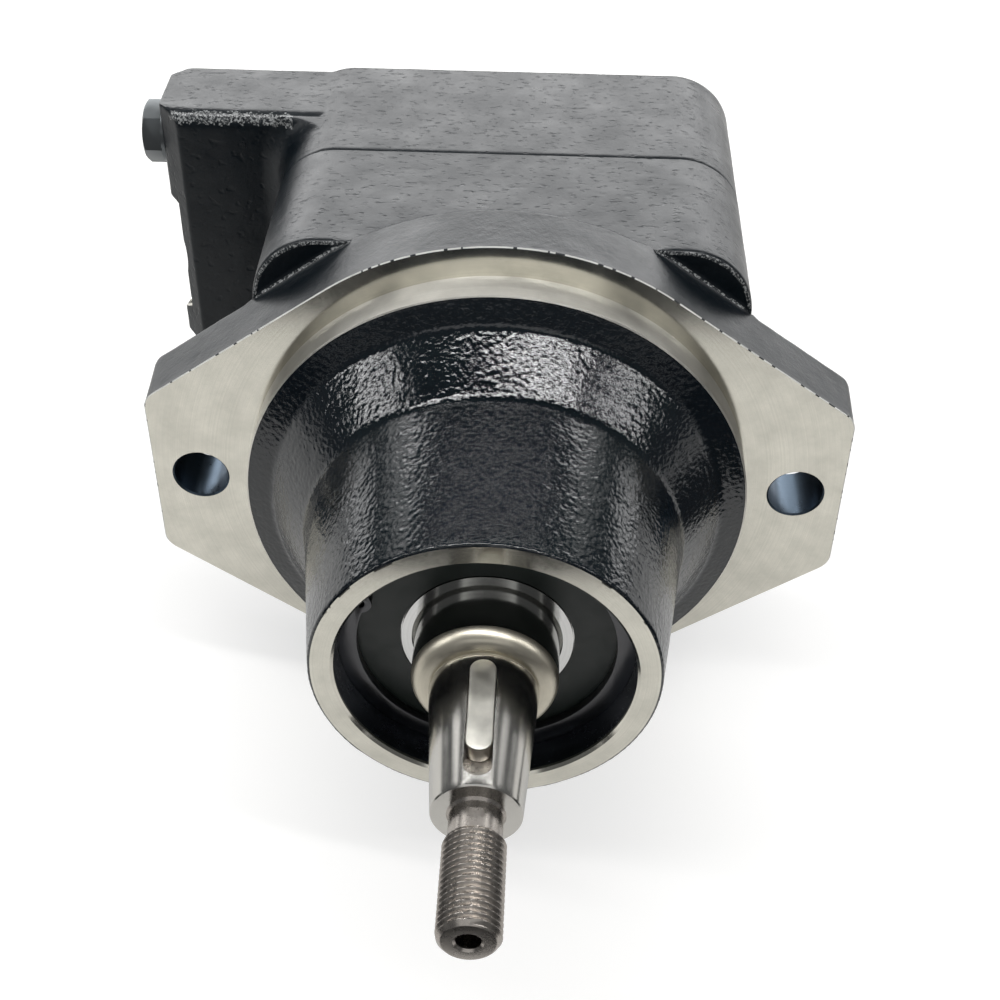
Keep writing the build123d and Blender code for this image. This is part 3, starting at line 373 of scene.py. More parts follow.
theta = np.arange(ANGLES) * 2 * math.pi / ANGLES
folded = np.stack([abs(np.cos(theta)), abs(np.sin(theta))], 1)


def reach_of(half, across):
    """Radius to a line that is half away from the axis. across is each direction's share towards the line."""
    return half / np.maximum(across, 1e-9)


def rounded_corner(r, centre, radius, inside):
    """r with the part where inside holds moved onto a circle around centre."""
    along = folded @ centre
    reach = along + np.sqrt(np.maximum(along**2 - centre @ centre + radius**2, 0))
    return np.where(inside, reach, r)


def body_outline(grow=0.0):
    r = np.minimum(reach_of(BODY_HALF + grow, folded[:, 0]), reach_of(BODY_HALF + grow, folded[:, 1]))
    start = BODY_HALF - BODY_CORNER_R
    inside = (r * folded[:, 0] > start) & (r * folded[:, 1] > start)
    return rounded_corner(r, np.array([start, start]), BODY_CORNER_R + grow, inside)


def flange_outline(grow=0.0):
    reach = math.hypot(EAR_X, EAR_Z)
    touch = math.atan2(EAR_Z, EAR_X) + math.pi / 2 - math.atan2(FLANGE_R, math.sqrt(reach**2 - FLANGE_R**2))
    side = np.array([math.cos(touch), math.sin(touch)])
    on_ear = np.arctan2(folded[:, 1], folded[:, 0]) < touch
    ear = np.minimum(reach_of(EAR_X + grow, folded[:, 0]), reach_of(FLANGE_R + grow, folded @ side))
    r = np.where(on_ear, ear, FLANGE_R + grow)
    centre_x = EAR_X - EAR_CORNER_R
    centre = np.array([centre_x, (FLANGE_R - EAR_CORNER_R - centre_x * side[0]) / side[1]])
    offset = folded * r[:, None] - centre
    inside = (offset[:, 1] > 0) & (offset[:, 0] * side[1] - offset[:, 1] * side[0] > 0) & on_ear
    return rounded_corner(r, centre, EAR_CORNER_R + grow, inside)


# Materials

def node(tree, kind, inputs=None, **settings):
    """A node with its settings, and its inputs either linked or set to a value."""
    made = tree.nodes.new(kind)
    for key, value in settings.items():
        setattr(made, key, value)
    for key, value in (inputs or {}).items():
        if isinstance(value, bpy.types.NodeSocket):
            tree.links.new(value, made.inputs[key])
        else:
            made.inputs[key].default_value = value
    return made


def colour(r, g, b):
    return (r, g, b, 1.0)


def scaled_colour(base, factor):
    return colour(*(min(c * factor, 0.95) for c in base))


def start_material(name):
    material = bpy.data.materials.new(name)
    material.use_nodes = True
    tree = material.node_tree
    tree.nodes.clear()
    place = node(tree, "ShaderNodeTexCoord").outputs["Object"]
    return material, tree, place


def finish_material(tree, inputs):
    shader = node(tree, "ShaderNodeBsdfPrincipled", inputs)
    node(tree, "ShaderNodeOutputMaterial", {"Surface": shader.outputs["BSDF"]})


def noise(tree, place, size, detail=2.0, roughness=0.5, distortion=0.0):
    """Noise whose bumps are about size millimetres apart."""
    inputs = {
        "Vector": place, "Scale": 1 / (size * MM),
        "Detail": detail, "Roughness": roughness, "Distortion": distortion,
    }
    return node(tree, "ShaderNodeTexNoise", inputs).outputs["Fac"]


def spread(tree, value, low, high, to_low=0.0, to_high=1.0):
    inputs = {"Value": value, "From Min": low, "From Max": high, "To Min": to_low, "To Max": to_high}
    return node(tree, "ShaderNodeMapRange", inputs).outputs["Result"]


def math_node(tree, operation, *values):
    return node(tree, "ShaderNodeMath", dict(enumerate(values)), operation=operation).outputs[0]


def blend_colours(tree, share, a, b):
    return node(tree, "ShaderNodeMix", {0: share, 6: a, 7: b}, data_type="RGBA").outputs[2]


def bump(tree, height, depth, normal=None):
    """Bump whose whole height is depth millimetres."""
    inputs = {"Height": height, "Strength": 1.0, "Distance": depth * MM}
    if normal is not None:
        inputs["Normal"] = normal
    return node(tree, "ShaderNodeBump", inputs).outputs["Normal"]


# Colours of the paint, and sizes of its grain. Pits are stretched across the shaft's direction
PAINT_DARK, PAINT_LIGHT = colour(0.0010, 0.0034, 0.0060), colour(0.0026, 0.0062, 0.0096)
# Grey of the specks where paint is rubbed, which also stand for a painted highlight on edges
RUBBED_HIGHLIGHT_GREY = colour(0.30, 0.31, 0.31)
FINE_GRAIN, SOFT_GRAIN, SPECK, PIT, PATCH = 0.42, 1.15, 0.65, 2.7, 14.0
PIT_STRETCH = (1.0, 2.3, 1.0)

# Sizes of scuffs and of patches on machined steel
SCUFF, STEEL_PATCH = 0.8, 9.0


def paint_material(name, rough, fine_depth, soft_depth, level, highlight_wear=None, pits=0.0):
    """Thick black paint over sand-cast iron.

    Its grey specks are rubbed paint and also a painted highlight; the argument after level sets their share,
    and pits the depth of dimples.
    """
    material, tree, place = start_material(name)
    fine = noise(tree, place, FINE_GRAIN, roughness=0.6)
    soft = noise(tree, place, SOFT_GRAIN, roughness=0.6, distortion=0.6)
    patches = noise(tree, place, PATCH, detail=3.0, roughness=0.6)
    shine = spread(tree, patches, 0.3, 0.7, *rough)
    tint = blend_colours(tree, spread(tree, soft, 0.35, 0.7), PAINT_DARK, PAINT_LIGHT)
    # Grey specks: rubbed paint and a painted highlight
    if highlight_wear is not None:
        specks = noise(tree, place, SPECK, roughness=0.7)
        rubbed_highlight = spread(tree, specks, 0.66 - 0.2 * highlight_wear, 0.78 - 0.2 * highlight_wear)
        tint = blend_colours(tree, rubbed_highlight, tint, RUBBED_HIGHLIGHT_GREY)
    normal = bump(tree, soft, soft_depth, bump(tree, fine, fine_depth))
    if pits:
        stretched = node(tree, "ShaderNodeVectorMath", {0: place, 1: PIT_STRETCH}, operation="MULTIPLY")
        dimples = spread(tree, noise(tree, stretched.outputs[0], PIT, detail=1.0), 0.24, 0.40)
        normal = bump(tree, dimples, pits, normal)
    finish_material(tree, {
        "Base Color": tint, "Roughness": shine, "Normal": normal, "Specular IOR Level": level,
    })
    return material


def turned_steel(name, base, rough, groove=0.004, grooves=2.2, axis="radius", variation=0.12, brushed=0.0):
    """Machined steel or iron. The tool marks follow the radius from the shaft's axis, or its length."""
    material, tree, place = start_material(name)
    parts = node(tree, "ShaderNodeSeparateXYZ", {"Vector": place})
    if axis == "radius":
        squares = [math_node(tree, "MULTIPLY", parts.outputs[i], parts.outputs[i]) for i in ("X", "Z")]
        along = math_node(tree, "SQRT", math_node(tree, "ADD", *squares))
    else:
        along = parts.outputs["Y"]
    scaled = math_node(tree, "MULTIPLY", along, grooves / MM)
    settings = {"W": scaled, "Scale": 1.0, "Detail": 4.0, "Roughness": 0.7}
    marks = node(tree, "ShaderNodeTexNoise", settings, noise_dimensions="1D").outputs["Fac"]
    patches = noise(tree, place, STEEL_PATCH, detail=4.0, roughness=0.6)
    scuffs = noise(tree, place, SCUFF, detail=3.0, roughness=0.7)
    dark, light = scaled_colour(base, 1 - variation), scaled_colour(base, 1 + variation)
    tint = blend_colours(tree, spread(tree, patches, 0.3, 0.7), dark, light)
    tint = blend_colours(tree, spread(tree, marks, 0.3, 0.75, 0.0, 0.35), tint, scaled_colour(base, 0.72))
    shine = spread(tree, math_node(tree, "ADD", patches, scuffs), 0.7, 1.3, *rough)
    normal = bump(tree, scuffs, groove * 0.7, bump(tree, marks, groove))
    inputs = {
        "Base Color": tint, "Metallic": 1.0, "Roughness": shine, "Normal": normal, "Anisotropic": brushed,
    }
    if brushed:
        inputs["Tangent"] = node(tree, "ShaderNodeCombineXYZ", {"X": 0.0, "Y": 1.0, "Z": 0.0}).outputs[0]
    finish_material(tree, inputs)
    return material


def plain_surface(name, base, rough, metallic=0.0, grain=0.01, size=1.2):
    """Moulded, plated or blackened surfaces with a fine grain and slightly uneven colour."""
    material, tree, place = start_material(name)
    fine = noise(tree, place, size, detail=3.0, roughness=0.6)
    patches = noise(tree, place, size * 9, detail=3.0)
    tint = blend_colours(
        tree, spread(tree, patches, 0.3, 0.7), scaled_colour(base, 0.85), scaled_colour(base, 1.15),
    )
    shine = spread(tree, patches, 0.3, 0.7, *rough)
    finish_material(tree, {
        "Base Color": tint, "Metallic": metallic, "Roughness": shine, "Normal": bump(tree, fine, grain),
    })
    return material


nose_paint = paint_material("nose_paint", (0.04, 0.09), 0.030, 0.075, 0.70)
body_paint = paint_material("body_paint", (0.27, 0.40), 0.012, 0.020, 0.33, pits=0.07)
rim_paint = paint_material("rim_paint", (0.30, 0.42), 0.034, 0.055, 0.42)
# Paint with grey specks, rubbed paint and a painted highlight on the body's edges and the block's ridge
wear_and_highlight_paint = paint_material("wear_and_highlight_paint", (0.24, 0.36), 0.030, 0.060, 0.60, highlight_wear=0.9)
bare_edge = plain_surface("bare_edge", (0.66, 0.66, 0.63), (0.35, 0.5), grain=0.03, size=0.6)
machined_face = turned_steel("machined_face", (0.72, 0.70, 0.62), (0.10, 0.17), groove=0.0012)
machined_pilot = turned_steel(
    "machined_pilot", (0.74, 0.72, 0.66), (0.38, 0.46), groove=0.002, axis="length", brushed=0.88,
)
# Walls of the bolt holes: steel painted dark blue-grey, a painted shade inside the holes
bolt_hole_painted_shade = turned_steel("bolt_hole_painted_shade", (0.07, 0.095, 0.125), (0.25, 0.4), axis="length")
# Wall of the bore: steel painted dark navy, a painted shade inside the nose
bore_painted_shade = turned_steel("bore_painted_shade", (0.10, 0.115, 0.14), (0.18, 0.3), axis="length")
ground_shaft = turned_steel(
    "ground_shaft", (0.60, 0.585, 0.55), (0.14, 0.22),
    groove=0.0015, grooves=3.0, axis="length", variation=0.05,
)
dome_steel = turned_steel("dome_steel", (0.64, 0.60, 0.50), (0.32, 0.42), groove=0.002, axis="length")
journal_steel = turned_steel(
    "journal_steel", (0.42, 0.42, 0.40), (0.12, 0.2), groove=0.0015, axis="length", variation=0.06,
)
thread_steel = turned_steel(
    "thread_steel", (0.46, 0.425, 0.39), (0.24, 0.32), groove=0.0008, axis="length", variation=0.05,
)
bearing_steel = turned_steel(
    "bearing_steel", (0.74, 0.74, 0.73), (0.08, 0.16), groove=0.0008, variation=0.04,
)
key_steel = plain_surface("key_steel", (0.80, 0.78, 0.71), (0.36, 0.46), metallic=1.0, grain=0.004, size=0.6)
dark_steel = plain_surface("dark_steel", (0.12, 0.12, 0.125), (0.28, 0.42), metallic=1.0, grain=0.004)
screw_black = plain_surface("screw_black", (0.10, 0.10, 0.105), (0.3, 0.45), metallic=1.0, grain=0.006)
plated = plain_surface("plated", (0.13, 0.14, 0.145), (0.30, 0.42), metallic=1.0, grain=0.006)
shield_rubber = plain_surface("shield_rubber", (0.016, 0.023, 0.020), (0.3, 0.42), grain=0.003, size=0.5)
seal_rubber = plain_surface("seal_rubber", (0.02, 0.017, 0.015), (0.4, 0.55), grain=0.006)
ground_iron = turned_steel("ground_iron", (0.38, 0.38, 0.385), (0.22, 0.34))
polyamide = plain_surface("polyamide", (0.52, 0.45, 0.30), (0.4, 0.55), grain=0.004)


# Housing: one skin round the axis, from the mouth over nose, flange and body and back through the bore.
# Each row has its place, radius, material and how rough the casting is there, as one number or as one for
# each direction. The last material is that of the bolt holes, which their cutters bring.

HOUSING_MATERIALS = (
    nose_paint, machined_face, machined_pilot, bore_painted_shade, rim_paint, body_paint, wear_and_highlight_paint, bare_edge,
    bolt_hole_painted_shade,
)
NOSE, FACE, PILOT, BORE, RIM, BODY, WEAR_AND_HIGHLIGHT, BARE = range(len(HOUSING_MATERIALS) - 1)


def nose_rows():
    mouth = rounded_line(
        [(NOSE_Y + NOSE_EDGE, BORE_R), (NOSE_Y, BORE_R + NOSE_EDGE), (NOSE_Y, NOSE_R - NOSE_EDGE)],
        [0, 0, 0], 0.5,
    )
    pilot_start = (PILOT_Y, PILOT_R - PILOT_CHAMFER)
    outside = rounded_line(
        [(NOSE_Y, NOSE_R - NOSE_EDGE), (NOSE_Y, NOSE_R), (ROOT_Y, ROOT_R), (BELL_Y, BELL_R), pilot_start],
        [0, NOSE_EDGE - 0.01, THROAT_FILLET, BELL_FILLET, 0], FINE,
    )
    pilot = rounded_line([pilot_start, (PILOT_Y + PILOT_CHAMFER, PILOT_R), (0, PILOT_R)], [0, 0, 0], 0.8)
    rows = [(y, r, FACE, 0) for y, r in mouth]
    rows += [(y, r, NOSE, NOSE_CAST) for y, r in outside[1:]]
    return rows + [(y, r, PILOT, 0) for y, r in pilot[1:]]


def flange_and_body_rows():
    """The flange's face, its rim, the step between its rear face and the body, and the body up to the seam.

    Where the body stands out past the flange, the step runs the other way, and its edges get grey specks,
    which are rubbed paint and a painted highlight.
    """
    rows = []
    rim = flange_outline()
    back = flange_outline(FLANGE_THICK * FLANGE_DRAFT)
    body = body_outline()
    for k in range(1, FACE_ROWS + 1):
        rows.append((0.0, PILOT_R + (rim - RIM_CHAMFER - PILOT_R) * k / FACE_ROWS, FACE, 0))
    edge = back - body
    side = np.sign(edge)
    t = np.clip((edge + BODY_EDGE / 2) / BODY_EDGE, 0, 1)
    step_y = FLANGE_THICK - BODY_EDGE * (1 - t * t * (3 - 2 * t))
    room = abs(edge) / 2
    first = np.minimum(np.where(side > 0, BODY_EDGE, BODY_ROOT), room)
    second = np.minimum(np.where(side > 0, BODY_ROOT, BODY_EDGE), room)

    around = np.stack([rim * np.cos(theta), rim * np.sin(theta), theta * 0], 1)
    bare = gradient_noise(around, *RIM_RAGGED) > BARE_LEVEL
    rows.append((RIM_CHAMFER, rim, np.where(bare, BARE, RIM), 0))
    for k in range(1, RIM_ROWS + 1):
        y = RIM_CHAMFER + (step_y - first - RIM_CHAMFER) * k / RIM_ROWS
        rows.append((y, rim + (back - rim) * y / FLANGE_THICK, RIM, FLANGE_CAST))
    # At the corners the step's root gets grey specks: rubbed paint and a painted highlight
    for a, kind in zip(EDGE_ANGLES, (RIM, RIM, np.where(side > 0, RIM, WEAR_AND_HIGHLIGHT), RIM)):
        y = step_y - first + first * math.sin(a)
        rows.append((y, back - side * first * (1 - math.cos(a)), kind, FLANGE_CAST))
    start, end = back - side * first, body + side * second
    for k in range(1, SHOULDER_ROWS + 1):
        rows.append((step_y, start + (end - start) * k / SHOULDER_ROWS, RIM, FLANGE_CAST))
    # Where the body stands out, its front edge gets grey specks: rubbed paint and a painted highlight
    rubbed_highlight = np.where(side > 0, BODY, WEAR_AND_HIGHLIGHT)
    for a, kind in zip(EDGE_ANGLES, (rubbed_highlight, rubbed_highlight, BODY, BODY)):
        y = step_y + second * (1 - math.cos(a))
        rows.append((y, body + side * second * (1 - math.sin(a)), kind, FLANGE_CAST))

    start = step_y + second
    body_rows = int((SEAM_Y - SEAM_EDGE - FLANGE_THICK) / COARSE)
    for k in range(1, body_rows + 1):
        rows.append((start + (SEAM_Y - SEAM_EDGE - start) * k / body_rows, body, BODY, BODY_CAST))
    rows.append((SEAM_Y, body_outline(-SEAM_EDGE), BODY, SEAM_CAST))
    return rows


def bore_rows():
    rooms = stepped(SEAM_Y, (
        (CARTRIDGE_R, CARTRIDGE_END_Y), (PASSAGE_R, PASSAGE_END_Y),
        (SEAL_R, SEAL_GROOVE_Y), (SEAL_GROOVE_R, SEAL_GROOVE_END_Y), (SEAL_R, SEAL_END_Y),
        (BORE_R, RING_GROOVE_Y), (RING_GROOVE_R, RING_GROOVE_END_Y),
    ))[1:-1]
    front = rounded_line([(RING_GROOVE_END_Y, BORE_R), (NOSE_Y + NOSE_EDGE, BORE_R)], [0, 0], 0.8)
    return [(y, r, BORE, 0) for y, r in rooms + list(front[:-1])]


def cast_skin(points, strength):
    """Height of the sand-cast skin: small worm-like bumps, wide waves and shallow dents."""
    bumps = BUMP_HEIGHT * gradient_noise(points, *SMALL_BUMPS)
    dents = DENT_DEPTH * np.maximum(gradient_noise(points, *DENTS) - DENT_LEVEL, 0)
    waves = WAVE_HEIGHT * gradient_noise(points, *WIDE_WAVES) - dents * (1 - strength)
    return bumps * strength**BUMP_POWER + waves - SKIN_SINK * strength


def make_housing():
    rows = nose_rows() + flange_and_body_rows() + bore_rows()
    y, r, kinds = (np.array([np.broadcast_to(row[i], (ANGLES,)) for row in rows]) for i in range(3))
    points = np.stack([r * np.cos(theta), y, r * np.sin(theta)], -1)
    faces = closed_grid(len(rows), ANGLES)[:, ::-1]
    piece = from_quads("housing_casting", points.reshape(-1, 3), faces)

    # The skin fades out before it meets a machined row
    cast = np.array([row[3] for row in rows], float)
    for _ in range(FADE_ROUNDS):
        cast = np.minimum(cast, (np.roll(cast, 1) + np.roll(cast, -1) + cast) / 3 + FADE_STEP)
    strength = np.repeat(cast, ANGLES)
    push(piece, np.where(strength > 0, cast_skin(points.reshape(-1, 3), strength), 0))
    for material in HOUSING_MATERIALS:
        piece.data.materials.append(material)
    kinds = np.roll(kinds, -1, axis=0)
    piece.data.polygons.foreach_set("material_index", kinds.astype(np.int32).ravel())

    wide = BOLT_R + BOLT_CHAMFER
    rows = [
        (-1, 0), (-1, wide + 1), (0, wide), (BOLT_CHAMFER, BOLT_R), (FLANGE_THICK - BOLT_CHAMFER, BOLT_R),
        (FLANGE_THICK, wide), (FLANGE_THICK + 1, wide + 1), (FLANGE_THICK + 1, 0),
    ]
    carve(piece, [
        lathe("hole", rows, PORT_SIDES, centre=(x, 0, 0), material=bolt_hole_painted_shade) for x in (BOLT_X, -BOLT_X)
    ])
    return piece


# End cap: a cast blank of the cap and its block, then the machined faces and holes cut into it

def cap_prism():
    rear = rounded_line([(SEAM_Y + SEAM_EDGE, 0), (CAP_Y, 0), (CAP_Y, -20)], [0, CAP_REAR_EDGE, 0], 0.5)
    rows = [(y, body_outline(-SEAM_EDGE)[::4]) for y in (SEAM_Y - 2, SEAM_Y)]
    for y, drop in rear[rear[:, 1] > -CAP_REAR_EDGE - 0.01]:
        rows.append((y, body_outline(drop)[::4]))
    return lathe("cap_prism", [(rows[0][0], 0)] + rows + [(rows[-1][0], 0)], ANGLES // 4)


def block_blank():
    profile = rounded_line(
        [(BLOCK_FRONT_Y, 0), (BLOCK_FRONT_Y, BLOCK_TOP), (BLOCK_REAR_Y, BLOCK_TOP), (BLOCK_REAR_Y, 0)],
        [0, BLOCK_RIDGE_R, BLOCK_REAR_R, 0], 0.7,
    )
    made = bmesh.new()
    for y, z in profile:
        cut = max(0, BLOCK_FRONT_Y + BLOCK_CORNER - y, y - BLOCK_REAR_Y + BLOCK_CORNER)
        for x in (-BLOCK_INNER_X, cut - BLOCK_X):
            for high in (z, -z):
                made.verts.new(Vector((x, y, high)) * MM)
    bmesh.ops.convex_hull(made, input=made.verts)
    return from_bmesh("block_blank", made)


def root_strip():
    """The concave root in front of the block, along the cap's left side and round its corners."""
    start = BODY_HALF - BODY_CORNER_R
    section = [(-1, -BLOCK_ROOT_R)]
    for t in np.radians(range(0, 91, 6)):
        section.append((BLOCK_ROOT_R * (1 - math.cos(t)), BLOCK_ROOT_R * (math.sin(t) - 1)))
    section += [(BLOCK_ROOT_R, 1), (-1, 1)]
    made = bmesh.new()
    loops = []
    for a in np.radians(np.arange(90, 271, 3)):
        x = -start + BODY_CORNER_R * math.cos(a)
        z = (start if a < math.pi else -start) + BODY_CORNER_R * math.sin(a)
        loops.append([])
        for out, ahead in section:
            high = min(max(z + out * math.sin(a), -BLOCK_TOP), BLOCK_TOP)
            point = Vector((x + out * math.cos(a), BLOCK_FRONT_Y + ahead, high))
            loops[-1].append(made.verts.new(point * MM))
    size = len(section)
    for low, high in zip(loops, loops[1:]):
        for i in range(size):
            made.faces.new((low[i], low[(i + 1) % size], high[(i + 1) % size], high[i]))
    made.faces.new(loops[0])
    made.faces.new(loops[-1][::-1])
    return from_bmesh("root_strip", made)


def joined(pieces, name):
    """One piece with the meshes of all of them, which are removed."""
    made = bmesh.new()
    for p in pieces:
        made.from_mesh(p.data)
        bpy.data.objects.remove(p)
    mesh = bpy.data.meshes.new(name)
    made.to_mesh(mesh)
    made.free()
    piece = bpy.data.objects.new(name, mesh)
    bpy.context.scene.collection.objects.link(piece)
    return piece


def cast_cap():
    """The cap and its block as cast, with grey specks on the block's ridge: rubbed paint and a painted
    highlight.
    """
    piece = joined([cap_prism(), block_blank(), root_strip()], "end_cap_casting")
    step = piece.modifiers.new("skin", "REMESH")
    step.mode = "VOXEL"
    step.voxel_size = VOXEL * MM
    apply_modifiers(piece)
    soften = piece.modifiers.new("soften", "SMOOTH")
    soften.factor, soften.iterations = SOFTEN, SOFTEN_ROUNDS
    apply_modifiers(piece)
    points = points_of(piece.data)
    push(piece, cast_skin(points, np.full(len(points), CAP_CAST)))
    piece.data.materials.clear()
    piece.data.materials.append(body_paint)
    piece.data.materials.append(wear_and_highlight_paint)
    middles = middles_of_faces(piece.data)
    x, y, z = middles.T
    ragged = gradient_noise(middles, *RIDGE_RAGGED)
    # Grey specks on the ridge: rubbed paint and a painted highlight
    ridge = (x < RIDGE_X) & (y < BLOCK_FRONT_Y + RIDGE_BACK + ragged) & (z > BLOCK_TOP - RIDGE_DROP + ragged)
    piece.data.polygons.foreach_set("material_index", ridge.astype(np.int32))
    return piece


def port_rows(columns):
    """A port from its spot face inwards: its mouth, a thread that winds round, and the passage behind it."""
    turn = np.arange(columns) / columns
    rows = [
        (-CUT_LEAD, 0), (-CUT_LEAD, SPOT_R), (SPOT_DEPTH, SPOT_R), (SPOT_DEPTH, PORT_R + PORT_MOUTH),
        (SPOT_DEPTH + PORT_MOUTH, PORT_R),
    ]
    for k in range(int((PORT_LENGTH - PORT_RUNOUT) / PORT_PITCH * PORT_ROWS)):
        phase = (k / PORT_ROWS - turn) % 1
        cut = np.clip(1 - abs(phase - 0.5) * PORT_FLANK, 0, 1)
        rows.append((SPOT_DEPTH + PORT_THREAD_START + k * PORT_PITCH / PORT_ROWS, PORT_R - PORT_CUT * cut))
    end, passage_end = SPOT_DEPTH + PORT_LENGTH, BLOCK_X - PORT_PASSAGE_END_X
    rows += [(end, PORT_R - 0.5), (end, PORT_PASSAGE_R), (passage_end, PORT_PASSAGE_R), (passage_end, 0)]
    return rows


def side_cut(name, rows, columns, z):
    """A cutter from the block's left side inwards, at height z."""
    return lathe(name, rows, columns, turn=(1, 0, 0), centre=(-BLOCK_X, PORT_Y, z), material=machined_face)


def make_cap():
    piece = cast_cap()
    cavity = stepped(CUT_START_Y, (
        (CARTRIDGE_R, CAP_FLOOR_Y), (REAR_BORE_R, REAR_BORE_Y),
        (REAR_ROOM_R, REAR_BORE_Y + REAR_ROOM_LENGTH),
    ))
    cutters = [
        box_piece("front", (-120, CUT_START_Y, -80), (80, SEAM_Y, 80), machined_face),
        lathe("cavity", cavity, CAVITY_SIDES, material=machined_face),
    ]
    screw_hole = stepped(CUT_START_Y, ((SCREW_HOLE_R, SCREW_SEAT_Y), (SCREW_SEAT_R, CAP_Y + 2)))
    for x, z in itertools.product((SCREW_AT, -SCREW_AT), repeat=2):
        cutters.append(lathe("screw_hole", screw_hole, HOLE_SIDES, centre=(x, 0, z), material=machined_face))
    carve(piece, cutters)
    for z in PORT_Z:
        carve(piece, [side_cut("port", port_rows(PORT_SIDES), PORT_SIDES, z)])
    plug_hole = stepped(-CUT_LEAD, ((PLUG_SEAT_R, PLUG_SEAT_DEPTH), (PLUG_HOLE_R, PLUG_HOLE_LENGTH)))
    carve(piece, [side_cut("plug_hole", plug_hole, HOLE_SIDES, PLUG_Z)])
    return piece


# Shaft: turned body with a cut thread and the keyway in its taper

def shaft_rows():
    """From the rear end over journal, dome, groove, taper, neck and thread to the tip."""
    turn = np.arange(SHAFT_SIDES) / SHAFT_SIDES
    rows = [(SHAFT_REAR_Y, 0), (SHAFT_REAR_Y, SHAFT_STEPS[0][0] - SHAFT_REAR_EDGE)]
    rows += stepped(SHAFT_REAR_Y - SHAFT_REAR_EDGE, SHAFT_STEPS)[1:-1]
    rows.append((SHAFT_STEPS[-1][1], JOURNAL_R))
    rows += [(y, JOURNAL_R) for y in np.arange(-45, JOURNAL_Y, -2.0)]

    drop, length = JOURNAL_R - DOME_R, JOURNAL_Y - (TAPER_Y + GROOVE)
    bend = (drop**2 + length**2) / (2 * drop)
    for k in range(DOME_ROWS + 1):
        along = length * k / DOME_ROWS
        rows.append((JOURNAL_Y - along, JOURNAL_R - bend + math.sqrt(bend**2 - along**2)))
    rows += [
        (TAPER_Y + GROOVE, GROOVE_R + GROOVE_EDGE), (TAPER_Y + GROOVE - GROOVE_EDGE, GROOVE_R),
        (TAPER_Y, GROOVE_R), (TAPER_Y, TAPER_R - TAPER_EDGE), (TAPER_Y - TAPER_EDGE, TAPER_R),
    ]
    for k in range(1, TAPER_ROWS):
        share = k / TAPER_ROWS
        rows.append((TAPER_Y + (TAPER_END_Y - TAPER_Y) * share, TAPER_R + (TAPER_END_R - TAPER_R) * share))
    rows += [
        (TAPER_END_Y + TAPER_END_EDGE, TAPER_END_R), (TAPER_END_Y, TAPER_END_R - TAPER_END_EDGE),
        (TAPER_END_Y, NECK_R + NECK_ROOT), (TAPER_END_Y - NECK_ROOT, NECK_R), (THREAD_Y + 0.1, NECK_R),
    ]

    for y in np.arange(THREAD_Y, TIP_Y + 0.02, -THREAD_PITCH / THREAD_ROWS):
        phase = (y / THREAD_PITCH + turn) % 1
        cut = np.clip(abs(phase - 0.5) * THREAD_FLANK - THREAD_CREST, 0, 1)
        at_start = THREAD_R - THREAD_START_DROP + (THREAD_Y - y) * THREAD_START_SLOPE
        limit = min(THREAD_R - THREAD_CHAMFER + (y - TIP_Y), at_start, THREAD_R)
        rows.append((y, np.minimum(THREAD_R - THREAD_DEPTH * (1 - cut), limit)))
    rows += [
        (TIP_Y, THREAD_R - THREAD_CHAMFER - THREAD_DEPTH * 0.2), (TIP_Y, CENTRE_R + CENTRE_EDGE),
        (TIP_Y + CENTRE_EDGE, CENTRE_R), (TIP_Y + CENTRE_DEPTH, CENTRE_R),
        (TIP_Y + CENTRE_DEPTH + CENTRE_POINT, 0),
    ]
    return rows


def keyway_cutter():
    """A slot with round ends, square to the taper's top line."""
    fall, length = TAPER_R - TAPER_END_R, TAPER_Y - TAPER_END_Y
    slope = math.hypot(fall, length)
    along = Vector((0, -length, -fall)) / slope
    up = Vector((0, -fall, length)) / slope
    start = Vector((0, TAPER_Y, TAPER_R))
    half = KEYWAY_WIDTH / 2
    quarter = math.pi / 2
    far = KEYWAY_START + KEYWAY_LENGTH - half
    near = KEYWAY_START + half
    slot = [(near - half * math.cos(t), half * math.sin(t)) for t in np.linspace(-quarter, quarter, 33)]
    slot += [(far + half * math.cos(t), half * math.sin(t)) for t in np.linspace(quarter, -quarter, 33)]
    made = bmesh.new()
    floor, top = (
        [made.verts.new((start + along * a + Vector((1, 0, 0)) * b + up * c) * MM) for a, b in slot]
        for c in (-KEYWAY_DEPTH, 4.0)
    )
    for i in range(len(slot)):
        k = (i + 1) % len(slot)
        made.faces.new((floor[i], floor[k], top[k], top[i]))
    made.faces.new(floor[::-1])
    made.faces.new(top)
    return from_bmesh("keyway", made, material=thread_steel)


def make_shaft():
    piece = lathe("shaft_turned", shaft_rows(), SHAFT_SIDES, smooth_angle=FINE_SMOOTH_ANGLE)
    mesh = piece.data
    for material in (ground_shaft, journal_steel, dome_steel, thread_steel):
        mesh.materials.append(material)
    y = middles_of_faces(mesh)[:, 1]
    kind = np.select([y > JOURNAL_Y, y > TAPER_Y + 0.1, y > TAPER_END_Y - 0.01], [1, 2, 0], 3)
    mesh.polygons.foreach_set("material_index", kind.astype(np.int32))
    carve(piece, [keyway_cutter()], FINE_SMOOTH_ANGLE)
    return piece


housing = make_housing()
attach(housing, "motor_body")
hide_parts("housing")

cap = make_cap()
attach(cap, "motor_body")
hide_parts("end_cap")

shaft = make_shaft()
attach(shaft, "rotor_assembly")
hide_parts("shaft")

